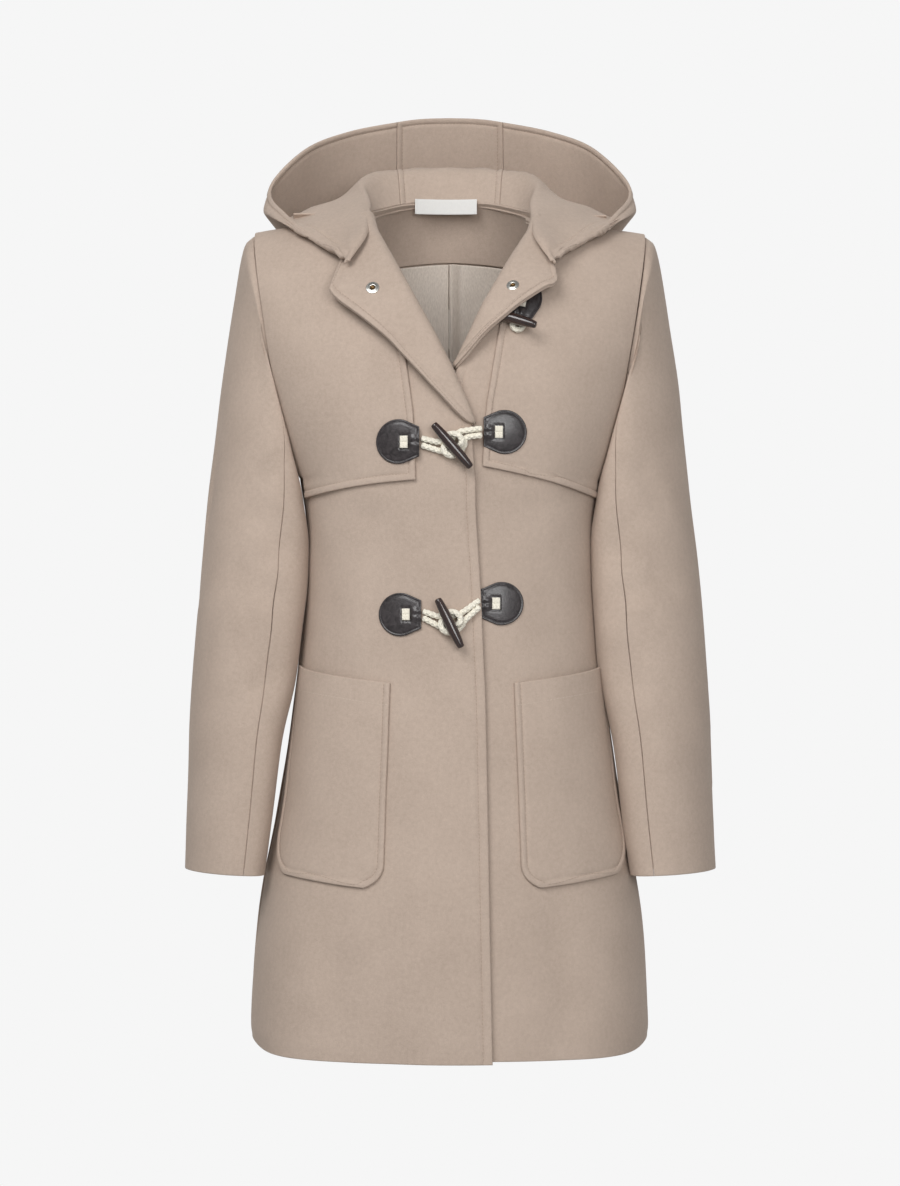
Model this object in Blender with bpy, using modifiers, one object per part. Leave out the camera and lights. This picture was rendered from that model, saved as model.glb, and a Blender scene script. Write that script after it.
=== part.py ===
"""Hooded duffle coat in wool cloth, filled out as when worn, hood down and lapels turned open.

Units are metres. +X is the wearer's left, the front faces -Y and +Z is up. The origin is the
point between the shoulders where the wearer carries the coat. The body cloth is one surface
worked out from a table of levels; every panel is a patch of that surface with its own
thickness, and pockets, flaps and fastenings lie on its points, moved out.
"""
import math
from collections import namedtuple

import bmesh
import bpy
from mathutils import Quaternion, Vector

# ---------------------------------------------------------------- driving sizes
WOOL = 0.0025                # coat cloth, one layer with its seam turned
FACING = 0.0020              # lapel and neck facing
LINING = 0.0012              # satin back lining
LEATHER = 0.0020             # fastening patches
SEAM = 0.0004                # space kept between two pieces at a seam
LAY = 0.0006                 # space kept under a piece that lies on another
ROUNDNESS = 2.3              # body sections: 2 is an ellipse, more is squarer
SOFTEN = 0.040               # rounds the rise of the cloth across the back of the neck
NECK_HALF = 0.081            # neck opening, half its width at the shoulder seam
NECK_DEEP = 0.072            # from the shoulder seam back to the centre back neck
NECK_LIFT = 0.017            # and up to it

ARM_TOP = Vector((0.1910, 0.0, -0.0200))
ARM_LOW = Vector((0.1470, 0.0, -0.2580))
ARM_FRONT = 0.055            # how far the armhole seam swings forward
ARM_BACK = 0.062             # and back
ARM_BELLY = 0.004            # bow of the armhole seam towards the sleeve

SIDES = {"right": -1.0, "left": 1.0}

Level = namedtuple("Level", "name arm side_z half front back neck rise")
# name, turn of the armhole seam in degrees, height and half width at the side seam, depth in
# front and behind, share of the neck hollow, rise towards the neck per metre of width
BODY = [
    Level("shoulder seam", 0, 0.0, 0.0, 0.0000, 0.0000, 1.00, 0.155),
    Level("collar bone", 24, 0.0, 0.0, 0.0360, 0.0330, 0.76, 0.150),
    Level("shoulder blade", 47, 0.0, 0.0, 0.0690, 0.0660, 0.45, 0.135),
    Level("upper chest", 72, 0.0, 0.0, 0.0960, 0.0950, 0.17, 0.095),
    Level("chest", 98, 0.0, 0.0, 0.1130, 0.1120, 0.00, 0.045),
    Level("bust", 124, 0.0, 0.0, 0.1200, 0.1170, 0.00, 0.020),
    Level("below bust", 150, 0.0, 0.0, 0.1195, 0.1150, 0.00, 0.005),
    Level("underarm", 180, -0.258, 0.1470, 0.1175, 0.1110, 0.00, 0.000),
    Level("waist", 180, -0.320, 0.1400, 0.1130, 0.1010, 0.00, 0.000),
    Level("high hip", 180, -0.440, 0.1465, 0.1170, 0.1080, 0.00, 0.000),
    Level("hip", 180, -0.560, 0.1640, 0.1270, 0.1230, 0.00, 0.000),
    Level("thigh", 180, -0.680, 0.1850, 0.1360, 0.1340, 0.00, 0.000),
    Level("above hem", 180, -0.778, 0.1935, 0.1400, 0.1390, 0.00, 0.000),
    Level("hem", 180, -0.812, 0.1925, 0.1405, 0.1400, 0.00, 0.000),
]
HEM = len(BODY) - 1
UNDERARM = 7

Drape = namedtuple("Drape", "name turn width depth start")
# soft flutes of the skirt: where round the body, how wide in degrees, how deep at the hem
DRAPES = [
    Drape("front panel", 52, 20, 0.0040, 8.6),
    Drape("side", 98, 22, 0.0045, 8.2),
    Drape("back panel", 134, 20, 0.0050, 8.0),
    Drape("centre back", 168, 16, 0.0030, 9.0),
]

# the edge of the right front, which laps over, from the lapel's break down to the hem
EdgePoint = namedtuple("EdgePoint", "x z")
OVER_EDGE = [
    EdgePoint(0.0235, -0.2118),
    EdgePoint(0.0240, -0.2900),
    EdgePoint(0.0285, -0.3650),
    EdgePoint(0.0330, -0.4680),
    EdgePoint(0.0357, -0.6000),
    EdgePoint(0.0394, -0.8120),
]
UNDER_LAP = 0.046            # how far the left front reaches under the right
LAP_RISE = 0.0056            # how far the lapped front lies over the other
LAP_SLOPE = 0.060            # width over which it comes down to the body's surface

Roll = namedtuple("Roll", "top foot radius")
# the roll line each lapel turns over: its two ends from the front, and the fold's inner radius
ROLLS = {
    "right": Roll((-0.0755, -0.0290), (0.0205, -0.2118), 0.0042),
    "left": Roll((0.0785, -0.0300), (0.0060, -0.1590), 0.0045),
}

LapelRow = namedtuple("LapelRow", "name along x z stand")
# along the roll line (share of its length), place of the lapel's edge from the front, and how
# far that edge stands off the body
LAPELS = {
    "right": [
        LapelRow("corner", 0.00, -0.1113, -0.0847, 0.0170),
        LapelRow("below corner", 0.16, -0.1016, -0.0956, 0.0170),
        LapelRow("upper edge", 0.32, -0.0794, -0.1156, 0.0170),
        LapelRow("middle", 0.47, -0.0575, -0.1342, 0.0160),
        LapelRow("lower edge", 0.61, -0.0405, -0.1525, 0.0130),
        LapelRow("above break", 0.78, -0.0122, -0.1829, 0.0100),
        LapelRow("last turn", 0.92, 0.0094, -0.2055, 0.0060),
        LapelRow("break", 1.00, 0.0205, -0.2118, 0.0),
    ],
    "left": [
        LapelRow("corner", 0.00, 0.1000, -0.0748, 0.0160),
        LapelRow("below corner", 0.14, 0.0960, -0.0815, 0.0190),
        LapelRow("upper edge", 0.28, 0.0856, -0.0866, 0.0215),
        LapelRow("middle", 0.44, 0.0663, -0.0999, 0.0220),
        LapelRow("lower edge", 0.60, 0.0511, -0.1128, 0.0185),
        LapelRow("above break", 0.76, 0.0340, -0.1284, 0.0120),
        LapelRow("last turn", 0.90, 0.0170, -0.1480, 0.0070),
        LapelRow("break", 1.00, 0.0060, -0.1590, 0.0),
    ],
}
NECK_ROWS = (0.02, 0.55)     # levels of the front rows above the roll line
FACING_INSIDE_SHARE = 0.95   # how far the lapel facing runs back inside the front's first column


# ---------------------------------------------------------------- small maths
def ease(share):
    share = min(max(share, 0.0), 1.0)
    return share * share * (3 - 2 * share)


def mix(a, b, share):
    return a + (b - a) * share


def smooth(values, place):
    """A value or point at a fractional place along a list, on a smooth curve through it."""
    last = len(values) - 1
    place = min(max(place, 0.0), float(last))
    i = min(int(place), last - 1)
    t = place - i
    before, here = values[max(i - 1, 0)], values[i]
    after, beyond = values[i + 1], values[min(i + 2, last)]
    start, stop = (after - before) * 0.5, (beyond - here) * 0.5
    if i == 0:
        start = after - here
    if i == last - 1:
        stop = after - here
    t2, t3 = t * t, t * t * t
    return (here * (2 * t3 - 3 * t2 + 1) + start * (t3 - 2 * t2 + t)
            + after * (3 * t2 - 2 * t3) + stop * (t3 - t2))


def column(rows, name):
    return [getattr(row, name) for row in rows]


COLUMNS = {name: column(BODY, name) for name in Level._fields if name != "name"}


# ---------------------------------------------------------------- the body's surface
def armhole(turn, back):
    """A point on the armhole seam of the wearer's left side; turn 0 is the shoulder, 180 below."""
    angle = math.radians(turn)
    centre = (ARM_TOP + ARM_LOW) * 0.5
    reach = (ARM_TOP - ARM_LOW) * 0.5
    swing = ARM_BACK if back else -ARM_FRONT
    return (centre + reach * math.cos(angle)
            + Vector((ARM_BELLY * math.sin(angle), swing * math.sin(angle), 0)))


def half_width(level, back):
    """Half width of a whole section, so that it passes through the armhole seam."""
    arm = smooth(COLUMNS["arm"], level)
    if level >= UNDERARM:
        return smooth(COLUMNS["half"][UNDERARM:], level - UNDERARM)
    seam = armhole(arm, back)
    depth = smooth(COLUMNS["back" if back else "front"], level)
    share = min(abs(seam.y) / depth, 0.97) if depth > 1e-6 else 0.6
    return seam.x / (1 - share ** ROUNDNESS) ** (1 / ROUNDNESS)


def turn_limit(level, back):
    """How far round from the centre a panel reaches: the armhole seam, or the side seam."""
    if level >= UNDERARM:
        return 90.0
    share = armhole(smooth(COLUMNS["arm"], level), back).x / half_width(level, back)
    turn = math.degrees(math.asin(min(share, 1.0) ** (ROUNDNESS / 2)))
    return 180 - turn if back else turn


def bare_point(side, level, turn):
    """The body's surface: level down the table, turn 0 front centre, 90 side, 180 back centre."""
    back = turn > 90
    angle = math.radians(turn)
    half = half_width(level, back)
    across = half * abs(math.sin(angle)) ** (2 / ROUNDNESS)
    lean = abs(math.cos(angle)) ** (2 / ROUNDNESS)
    if level < UNDERARM:
        seam = armhole(smooth(COLUMNS["arm"], level), back)
        rise = smooth(COLUMNS["rise"], level)
        z = seam.z + rise * (seam.x - math.hypot(across, SOFTEN))
    else:
        z = smooth(COLUMNS["side_z"][UNDERARM:], level - UNDERARM)
    if back:
        y = smooth(COLUMNS["back"], level) * lean
        hollow = smooth(COLUMNS["neck"], level) * neck_hollow(across)
        y += NECK_DEEP * hollow
        z += NECK_LIFT * hollow
    else:
        y = -smooth(COLUMNS["front"], level) * lean
    return Vector((side * across, y, z))


def neck_hollow(across):
    """Shape of the back neckline: 0 at the shoulder seam, 1 at the centre back."""
    return math.sqrt(max(0.0, 1 - (across / NECK_HALF) ** 2.0))


def normal(side, level, turn):
    step, swing = 0.02, 0.4
    up, down = max(level - step, 0.0), min(level + step, float(HEM))
    near, far = max(turn - swing, 0.0), min(turn + swing, 180.0)
    if turn <= 90:
        far = min(far, 90.0)
    else:
        near = max(near, 90.001)
    along = bare_point(side, down, turn) - bare_point(side, up, turn)
    round_ = bare_point(side, level, far) - bare_point(side, level, near)
    return (along.cross(round_) * side).normalized()


def drape(level, turn):
    """How far the skirt's flutes push the surface out."""
    push = 0.0
    for fold in DRAPES:
        near = (turn - fold.turn) / fold.width
        grown = ease((level - fold.start) / (HEM - fold.start))
        push += fold.depth * grown * math.exp(-near * near)
    return push


def lap_rise(side, level, x, turn):
    """The right front lies over the left one near the centre."""
    if side > 0 or turn > 90:
        return 0.0
    under_edge = edge_x(level) - UNDER_LAP
    return LAP_RISE * (1 - ease((under_edge - x) / LAP_SLOPE))


def edge_x(level):
    z = smooth(COLUMNS["side_z"][UNDERARM:], level - UNDERARM) if level > UNDERARM else -0.2118
    for upper, lower in zip(OVER_EDGE, OVER_EDGE[1:]):
        if z >= lower.z:
            return mix(upper.x, lower.x, clamp((z - upper.z) / (lower.z - upper.z)))
    return OVER_EDGE[-1].x


def clamp(share):
    return min(max(share, 0.0), 1.0)


def body(side, level, turn, out=0.0):
    """A point of the coat's outer surface, moved out along the surface's normal."""
    point = bare_point(side, level, turn)
    out = out + drape(level, turn) + lap_rise(side, level, point.x, turn)
    return point + normal(side, level, turn) * out


def turn_at(level, x, back=False):
    """Turn at which the section at this level has this half width."""
    share = min(abs(x) / half_width(level, back), 1.0)
    turn = math.degrees(math.asin(share ** (ROUNDNESS / 2)))
    return 180 - turn if back else turn


def level_at(x, z, back=False):
    """Level whose section passes this place, seen from the front."""
    low, high = 0.0, float(HEM)
    for _ in range(40):
        middle = (low + high) / 2
        if bare_point(1.0, middle, turn_at(middle, x, back)).z > z:
            low = middle
        else:
            high = middle
    return (low + high) / 2


def on_body(side, x, z, out=0.0, back=False):
    """A point of the surface at this place, seen square on from the front or back."""
    level = level_at(x, z, back)
    sign = math.copysign(1.0, x)
    point = bare_point(sign, level, turn_at(level, x, back))
    lift = lap_rise(side, level, x, 180 if back else 0) + drape(level, turn_at(level, x, back))
    return point + normal(sign, level, turn_at(level, x, back)) * (out + lift)


# ---------------------------------------------------------------- making pieces
def collection(name, hidden=False):
    made = bpy.data.collections.new(name)
    bpy.context.scene.collection.children.link(made)
    made.hide_render = hidden
    return made


def material(name, colour, roughness, metallic=0.0):
    made = bpy.data.materials.new(name)
    made.use_nodes = True
    shader = made.node_tree.nodes["Principled BSDF"]
    shader.inputs["Base Color"].default_value = (*colour, 1.0)
    shader.inputs["Roughness"].default_value = roughness
    shader.inputs["Metallic"].default_value = metallic
    return made


def finish(obj, finish_name):
    """Puts a piece in the coat's collection with its material and smooth shading."""
    for holder in list(obj.users_collection):
        holder.objects.unlink(obj)
    COAT.objects.link(obj)
    obj.data.materials.append(MATERIALS[finish_name])
    if obj.type == "MESH":
        obj.data.shade_smooth()
        obj.data.set_sharp_from_angle(angle=math.radians(50))
    return obj


def grid_sheet(points, flip=False):
    """The faces of a grid of points {(row, column): point}, and the vertex of each place."""
    sheet = bmesh.new()
    corners = {key: sheet.verts.new(point) for key, point in points.items()}
    for row, col in points:
        cell = [(row, col), (row + 1, col), (row + 1, col + 1), (row, col + 1)]
        if all(key in corners for key in cell):
            loop = [corners[key] for key in cell]
            sheet.faces.new(loop[::-1] if flip else loop)
    return sheet, corners


def moved_out(points, out, flip=False):
    """The same grid moved out along the cloth's own normals, for what lies against it."""
    sheet, corners = grid_sheet(points, flip)
    sheet.normal_update()
    moved = {key: vertex.co + vertex.normal * out for key, vertex in corners.items()}
    sheet.free()
    return moved


def cloth(name, points, thickness, finish_name, flip=False):
    """A sheet through a grid of points, given its thickness inwards."""
    sheet, _ = grid_sheet(points, flip)
    bmesh.ops.remove_doubles(sheet, verts=sheet.verts, dist=0.00005)
    mesh = bpy.data.meshes.new(name)
    sheet.to_mesh(mesh)
    sheet.free()
    obj = bpy.data.objects.new(name, mesh)
    bpy.context.scene.collection.objects.link(obj)
    wall = obj.modifiers.new("cloth thickness", "SOLIDIFY")
    wall.thickness = thickness
    wall.offset = -1.0
    return finish(obj, finish_name)


def spread(start, stop, count):
    return [mix(start, stop, i / count) for i in range(count + 1)]


# ---------------------------------------------------------------- scene and materials
for old in list(bpy.data.objects):
    bpy.data.objects.remove(old, do_unlink=True)

COAT = collection("duffle_coat")
MATERIALS = {
    "wool": material("coat wool", (0.47, 0.38, 0.31), 0.95),
    "facing": material("facing wool", (0.48, 0.39, 0.32), 0.95),
    "lining": material("satin lining", (0.36, 0.33, 0.28), 0.45),
    "leather": material("black leather", (0.055, 0.050, 0.052), 0.42),
    "toggle": material("polished horn", (0.035, 0.020, 0.017), 0.25),
    "cord": material("cotton cord", (0.80, 0.75, 0.64), 0.90),
    "label": material("blank label", (0.88, 0.88, 0.86), 0.60),
    "snap": material("press stud", (0.75, 0.75, 0.73), 0.30, 1.0),
}


# ---------------------------------------------------------------- lapels
def roll_point(which, along, out=0.0):
    """A point on the roll line, at a share of its length."""
    roll = ROLLS[which]
    return on_body(SIDES[which], mix(roll.top[0], roll.foot[0], along),
                   mix(roll.top[1], roll.foot[1], along), out)


def roll_frame(which, along):
    """Directions at the roll line: down it, towards the opening, and out from the body."""
    step = 0.01
    down = (roll_point(which, min(along + step, 1.0))
            - roll_point(which, max(along - step, 0.0))).normalized()
    out = (roll_point(which, along, 0.01) - roll_point(which, along)).normalized()
    out = (out - down * out.dot(down)).normalized()
    inward = out.cross(down) * SIDES[which] * -1.0
    if inward.x * SIDES[which] > 0:
        inward = -inward
    return down, inward, out


def lapel_point(which, row, share):
    """A point of the turned lapel.

    share runs from the roll line (0) round the fold (FOLD_SHARE) to the lapel's edge (1).
    """
    place = LAPELS[which][row]
    down, _, out = roll_frame(which, place.along)
    roll = roll_point(which, place.along)
    edge = on_body(SIDES[which], place.x, place.z, place.stand)
    chord = edge - roll
    height = chord.dot(out)
    chord -= out * height
    width = chord.length
    if width < 1e-5:
        return roll
    inward = -chord / width
    radius = min(ROLLS[which].radius, 0.22 * width)
    tilt = math.atan2(height - 2 * radius, width)
    full = math.pi - tilt
    turned = full * min(share / FOLD_SHARE, 1.0)
    spoke = inward * math.sin(turned) - out * math.cos(turned)
    point = roll + out * radius + spoke * radius
    if share > FOLD_SHARE:
        part = (share - FOLD_SHARE) / (1 - FOLD_SHARE)
        point = mix(point, edge, part)
    return point


FOLD_SHARE = 0.25
FOLD_COLS, FLAT_COLS = 5, 4
LAPEL_SHARES = ([FOLD_SHARE * (i + 1) / FOLD_COLS for i in range(FOLD_COLS)]
                + [mix(FOLD_SHARE, 1.0, (i + 1) / FLAT_COLS) for i in range(FLAT_COLS)])


# ---------------------------------------------------------------- fronts
FRONT_COLS = 9
LOWER_LEVELS = {
    "right": [7.0, 7.5, 8.0, 8.6, 9.3, 10.0, 10.7, 11.4, 12.1, 13.0],
    "left": [6.2, 7.0, 7.5, 8.0, 8.6, 9.3, 10.0, 10.7, 11.4, 12.1, 13.0],
}
LAPEL_ARM_LEVELS = {           # levels at the armhole opposite each lapel row
    "right": [1.00, 1.70, 2.50, 3.40, 4.30, 5.20, 6.10, 6.60],
    "left": [1.00, 1.70, 2.40, 3.10, 3.80, 4.60, 5.20, 5.60],
}


def front_inner(which, level):
    """Centre edge of a front below its lapel, as a half width."""
    x = edge_x(level)
    return x if which == "right" else x - UNDER_LAP


def front_point(side, level, turn, out=0.0):
    """As body(), but a negative turn crosses the centre line."""
    if turn >= 0:
        return body(side, level, turn, out)
    point = bare_point(-side, level, -turn)
    lift = lap_rise(side, level, point.x, 0)
    return point + normal(-side, level, -turn) * (out + lift)


def outer_turn(level, back=False):
    """Turn of a panel's outer edge, a seam's space short of the armhole or side seam."""
    limit = turn_limit(level, back)
    short = math.degrees(SEAM / 2 / 0.14)
    return limit + short if back else limit - short


def place_of(which, x, z):
    """Level and turn of a place on a front; the turn is negative past the centre line."""
    level = level_at(x, z)
    turn = turn_at(level, x)
    return level, turn if x * SIDES[which] >= 0 else -turn


def front_rows(which):
    """Rows across a front, each from its inner to its outer end as (level, turn) pairs."""
    rows = []
    for level in NECK_ROWS:
        rows.append(((level, turn_at(level, neck_edge_x(level))), (level, outer_turn(level))))
    roll = ROLLS[which]
    for lapel, outer in zip(LAPELS[which], LAPEL_ARM_LEVELS[which]):
        x = mix(roll.top[0], roll.foot[0], lapel.along)
        z = mix(roll.top[1], roll.foot[1], lapel.along)
        rows.append((place_of(which, x, z), (outer, outer_turn(outer))))
    for level in LOWER_LEVELS[which]:
        inner_level = max(level, level_at(0.02, roll.foot[1]) + 0.3)
        inner = front_inner(which, inner_level)
        turn = math.copysign(turn_at(inner_level, inner), inner * SIDES[which])
        rows.append(((inner_level, turn), (level, outer_turn(level))))
    return rows


def in_row(row, share):
    """Level and turn at a share of the way across a front's row."""
    return mix(row[0][0], row[1][0], share), mix(row[0][1], row[1][1], share)


def share_at(side, row, x):
    """Share of the way across a front's row at which it passes this half width."""
    low, high = 0.0, 1.0
    for _ in range(30):
        middle = (low + high) / 2
        if front_point(side, *in_row(row, middle)).x * side < x:
            low = middle
        else:
            high = middle
    return (low + high) / 2


def front_grid(which):
    """The whole front with its lapel; columns under 0 turn out over the roll line."""
    points = {}
    for r, row in enumerate(front_rows(which)):
        for col in range(FRONT_COLS + 1):
            points[r, col] = front_point(SIDES[which], *in_row(row, col / FRONT_COLS))
    for i in range(len(LAPELS[which])):
        for k, share in enumerate(LAPEL_SHARES):
            points[len(NECK_ROWS) + i, -1 - k] = lapel_point(which, i, share)
    return points


def make_front(which):
    return cloth(f"front_{which}", front_grid(which), WOOL, "wool", flip=which == "right")


def neck_edge_x(level):
    """Half width of the front neckline between the shoulder seam and the roll line."""
    top = abs(ROLLS["right"].top[0])
    return mix(NECK_HALF + SEAM, top + 0.004, clamp(level / 1.2))


# ---------------------------------------------------------------- back
BACK_COLS = 8
NECK_FACING_ROWS = 5         # the back neck facing ends and the lining starts after this row
BACK_LEVELS = [0.03, 0.5, 1.0, 1.6, 2.2, 3.0, 3.9, 4.9, 6.0, 7.0, 7.9, 8.9, 9.9, 10.9, 11.9, 13.0]


def back_turn(level, col):
    """Turn of a column of the back, counted from its centre to the armhole or side seam."""
    return mix(180, outer_turn(level, True), abs(col) / BACK_COLS)


def back_sheet(levels, cols, out):
    """Points over the back, on the same columns as the back itself."""
    points = {}
    for row, level in enumerate(levels):
        for col in range(-cols, cols + 1):
            side = 1.0 if col < 0 else -1.0
            points[row, col] = body(side, level, back_turn(level, col), out)
    return points


def make_back():
    return cloth("back", back_sheet(BACK_LEVELS, BACK_COLS, 0.0), WOOL, "wool")


# ---------------------------------------------------------------- shoulder flaps
FLAP_OUT = LAY + WOOL        # a flap's outer face over the front's
FLAP_SHORT = 0.012           # how far the flap stops short of the armhole, as a share of the front
FlapPoint = namedtuple("FlapPoint", "x z")
FLAP_EDGE = {                # inner edge from the neck down, then the lower outer corner
    "right": [FlapPoint(0.0840, 0.0), FlapPoint(0.0720, -0.0600), FlapPoint(0.0440, -0.1300),
              FlapPoint(0.0345, -0.2000), FlapPoint(0.0320, -0.2630)],
    "left": [FlapPoint(0.0840, 0.0), FlapPoint(0.0760, -0.0600), FlapPoint(0.0470, -0.1150),
             FlapPoint(0.0330, -0.2000), FlapPoint(0.0305, -0.2540)],
}
FLAP_OUTER = FlapPoint(0.1400, -0.2740)
FLAP_OUTER_SHARE = 0.74      # how far round the front the free lower corner reaches


def flap_edge_x(which, z):
    edge = FLAP_EDGE[which]
    for upper, lower in zip(edge, edge[1:]):
        if z >= lower.z:
            return mix(upper.x, lower.x, clamp((z - upper.z) / (lower.z - upper.z)))
    return edge[-1].x


def flap_low_z(which, x):
    corner = FLAP_EDGE[which][-1]
    return mix(corner.z, FLAP_OUTER.z, (x - corner.x) / (FLAP_OUTER.x - corner.x))


def make_flap(which):
    """The flap lies on the front's own rows and columns and is cut off at its lower edge."""
    side = SIDES[which]
    rows = front_rows(which)
    points = {}
    for r, row in enumerate(rows):
        start = 0.0
        for _ in range(6):
            z = front_point(side, *in_row(row, start)).z
            start = share_at(side, row, flap_edge_x(which, z))
        end = 1 - mix(FLAP_SHORT, 1 - FLAP_OUTER_SHARE, clamp((row[1][0] - 6.0) / 0.9))
        finished = True
        for col in range(FRONT_COLS + 1):
            share = min(max(col / FRONT_COLS, start), end)
            place = in_row(row, share)
            bare = front_point(side, *place)
            low = flap_low_z(which, bare.x * side)
            if bare.z < low:
                above = in_row(rows[r - 1], share)
                top = front_point(side, *above)
                cut = clamp((top.z - low) / (top.z - bare.z))
                place = mix(above[0], place[0], cut), mix(above[1], place[1], cut)
                points[r, col] = front_point(side, *place, FLAP_OUT + LAY)
            else:
                finished = False
                points[r, col] = front_point(side, *place, FLAP_OUT)
        if finished:
            break
    return cloth(f"storm_flap_{which}", points, WOOL, "wool", flip=side < 0)


# ---------------------------------------------------------------- sleeves
SleeveRing = namedtuple("SleeveRing", "name out_x out_z in_x in_z front back")
# outer and inner edge of the sleeve seen from the front, and its reach forward and back
SLEEVE = [
    SleeveRing("armhole", 0.1925, -0.0205, 0.1485, -0.2590, -0.0560, 0.0630),
    SleeveRing("sleeve head", 0.2035, -0.0330, 0.1505, -0.2625, -0.0585, 0.0650),
    SleeveRing("upper arm", 0.2125, -0.0800, 0.1520, -0.2720, -0.0620, 0.0665),
    SleeveRing("biceps", 0.2225, -0.1500, 0.1485, -0.2900, -0.0640, 0.0660),
    SleeveRing("above elbow", 0.2315, -0.2300, 0.1425, -0.3230, -0.0655, 0.0610),
    SleeveRing("elbow top", 0.2395, -0.3060, 0.1425, -0.3640, -0.0680, 0.0540),
    SleeveRing("elbow", 0.2460, -0.3720, 0.1475, -0.4080, -0.0710, 0.0470),
    SleeveRing("below elbow", 0.2505, -0.4350, 0.1535, -0.4560, -0.0740, 0.0420),
    SleeveRing("forearm", 0.2545, -0.5000, 0.1640, -0.5120, -0.0755, 0.0380),
    SleeveRing("wrist", 0.2575, -0.5750, 0.1740, -0.5800, -0.0760, 0.0330),
    SleeveRing("cuff", 0.2595, -0.6430, 0.1830, -0.6470, -0.0760, 0.0300),
]
FRONT_SEAM, BACK_SEAM = 113, 240    # where the two sleeve pieces meet, degrees round the arm
SLEEVE_ROUND = 2.1
SLEEVE_TURN = 0.10           # the arm hangs turned a little in: inwards per metre forwards
TOP_COLS, UNDER_COLS = 11, 6
EDGE_TURN = 2.5               # a narrow column along each seam, degrees
SLEEVE_PLACES = [0, 0.6, 1.3, 2.1, 3, 4, 5, 5.7, 6.4, 7.2, 8, 9, 10]

SleeveFold = namedtuple("SleeveFold", "place turn width depth")
SLEEVE_FOLDS = [             # soft breaks of the cloth inside the elbow
    SleeveFold(4.6, 95, 42, 0.0045),
    SleeveFold(5.7, 80, 38, 0.0050),
    SleeveFold(6.8, 100, 40, 0.0035),
]


def sleeve_point(side, place, turn):
    """place runs from the armhole to the cuff; turn 0 is outside, 90 front, 180 against the body."""
    ring = {name: smooth(column(SLEEVE, name), place) for name in SleeveRing._fields[1:]}
    angle = math.radians(turn)
    outer = Vector((ring["out_x"], 0, ring["out_z"]))
    inner = Vector((ring["in_x"], 0, ring["in_z"]))
    middle = (ring["front"] + ring["back"]) / 2
    reach = (ring["back"] - ring["front"]) / 2
    sway = math.copysign(abs(math.sin(angle)) ** (2 / SLEEVE_ROUND), math.sin(angle))
    lean = math.copysign(abs(math.cos(angle)) ** (2 / SLEEVE_ROUND), math.cos(angle))
    bow = ARM_BELLY * abs(math.sin(angle)) * (1 - ease(place / 2))
    dent = 0.0
    for fold in SLEEVE_FOLDS:
        near = (place - fold.place) / 0.45
        round_ = (turn - fold.turn) / fold.width
        dent += fold.depth * math.exp(-near * near - round_ * round_)
    shrink = 1 - dent / reach
    centre = (outer + inner) * 0.5
    centre.x += bow
    point = centre + (outer - inner) * 0.5 * lean * shrink
    point.y = middle - reach * sway * shrink
    point.x += SLEEVE_TURN * (point.y - middle) * ease(place / 3)
    point.x *= side
    return point


def make_sleeve(which):
    side = SIDES[which]
    gap = math.degrees(SEAM * 1.1 / 0.05)
    for part, start, stop, cols in (
            ("top", BACK_SEAM - 360 + gap, FRONT_SEAM - gap, TOP_COLS),
            ("under", FRONT_SEAM + gap, BACK_SEAM - gap, UNDER_COLS)):
        points = {}
        for row, place in enumerate(SLEEVE_PLACES):
            turns = [start] + spread(start + EDGE_TURN, stop - EDGE_TURN, cols - 2) + [stop]
            for col, turn in enumerate(turns):
                points[row, col] = sleeve_point(side, place, turn)
        cloth(f"{part}_sleeve_{which}", points, WOOL, "wool", flip=side > 0)


# ---------------------------------------------------------------- hood
HoodStation = namedtuple("HoodStation", "name neck ridge drop floor wall rim")
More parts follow.
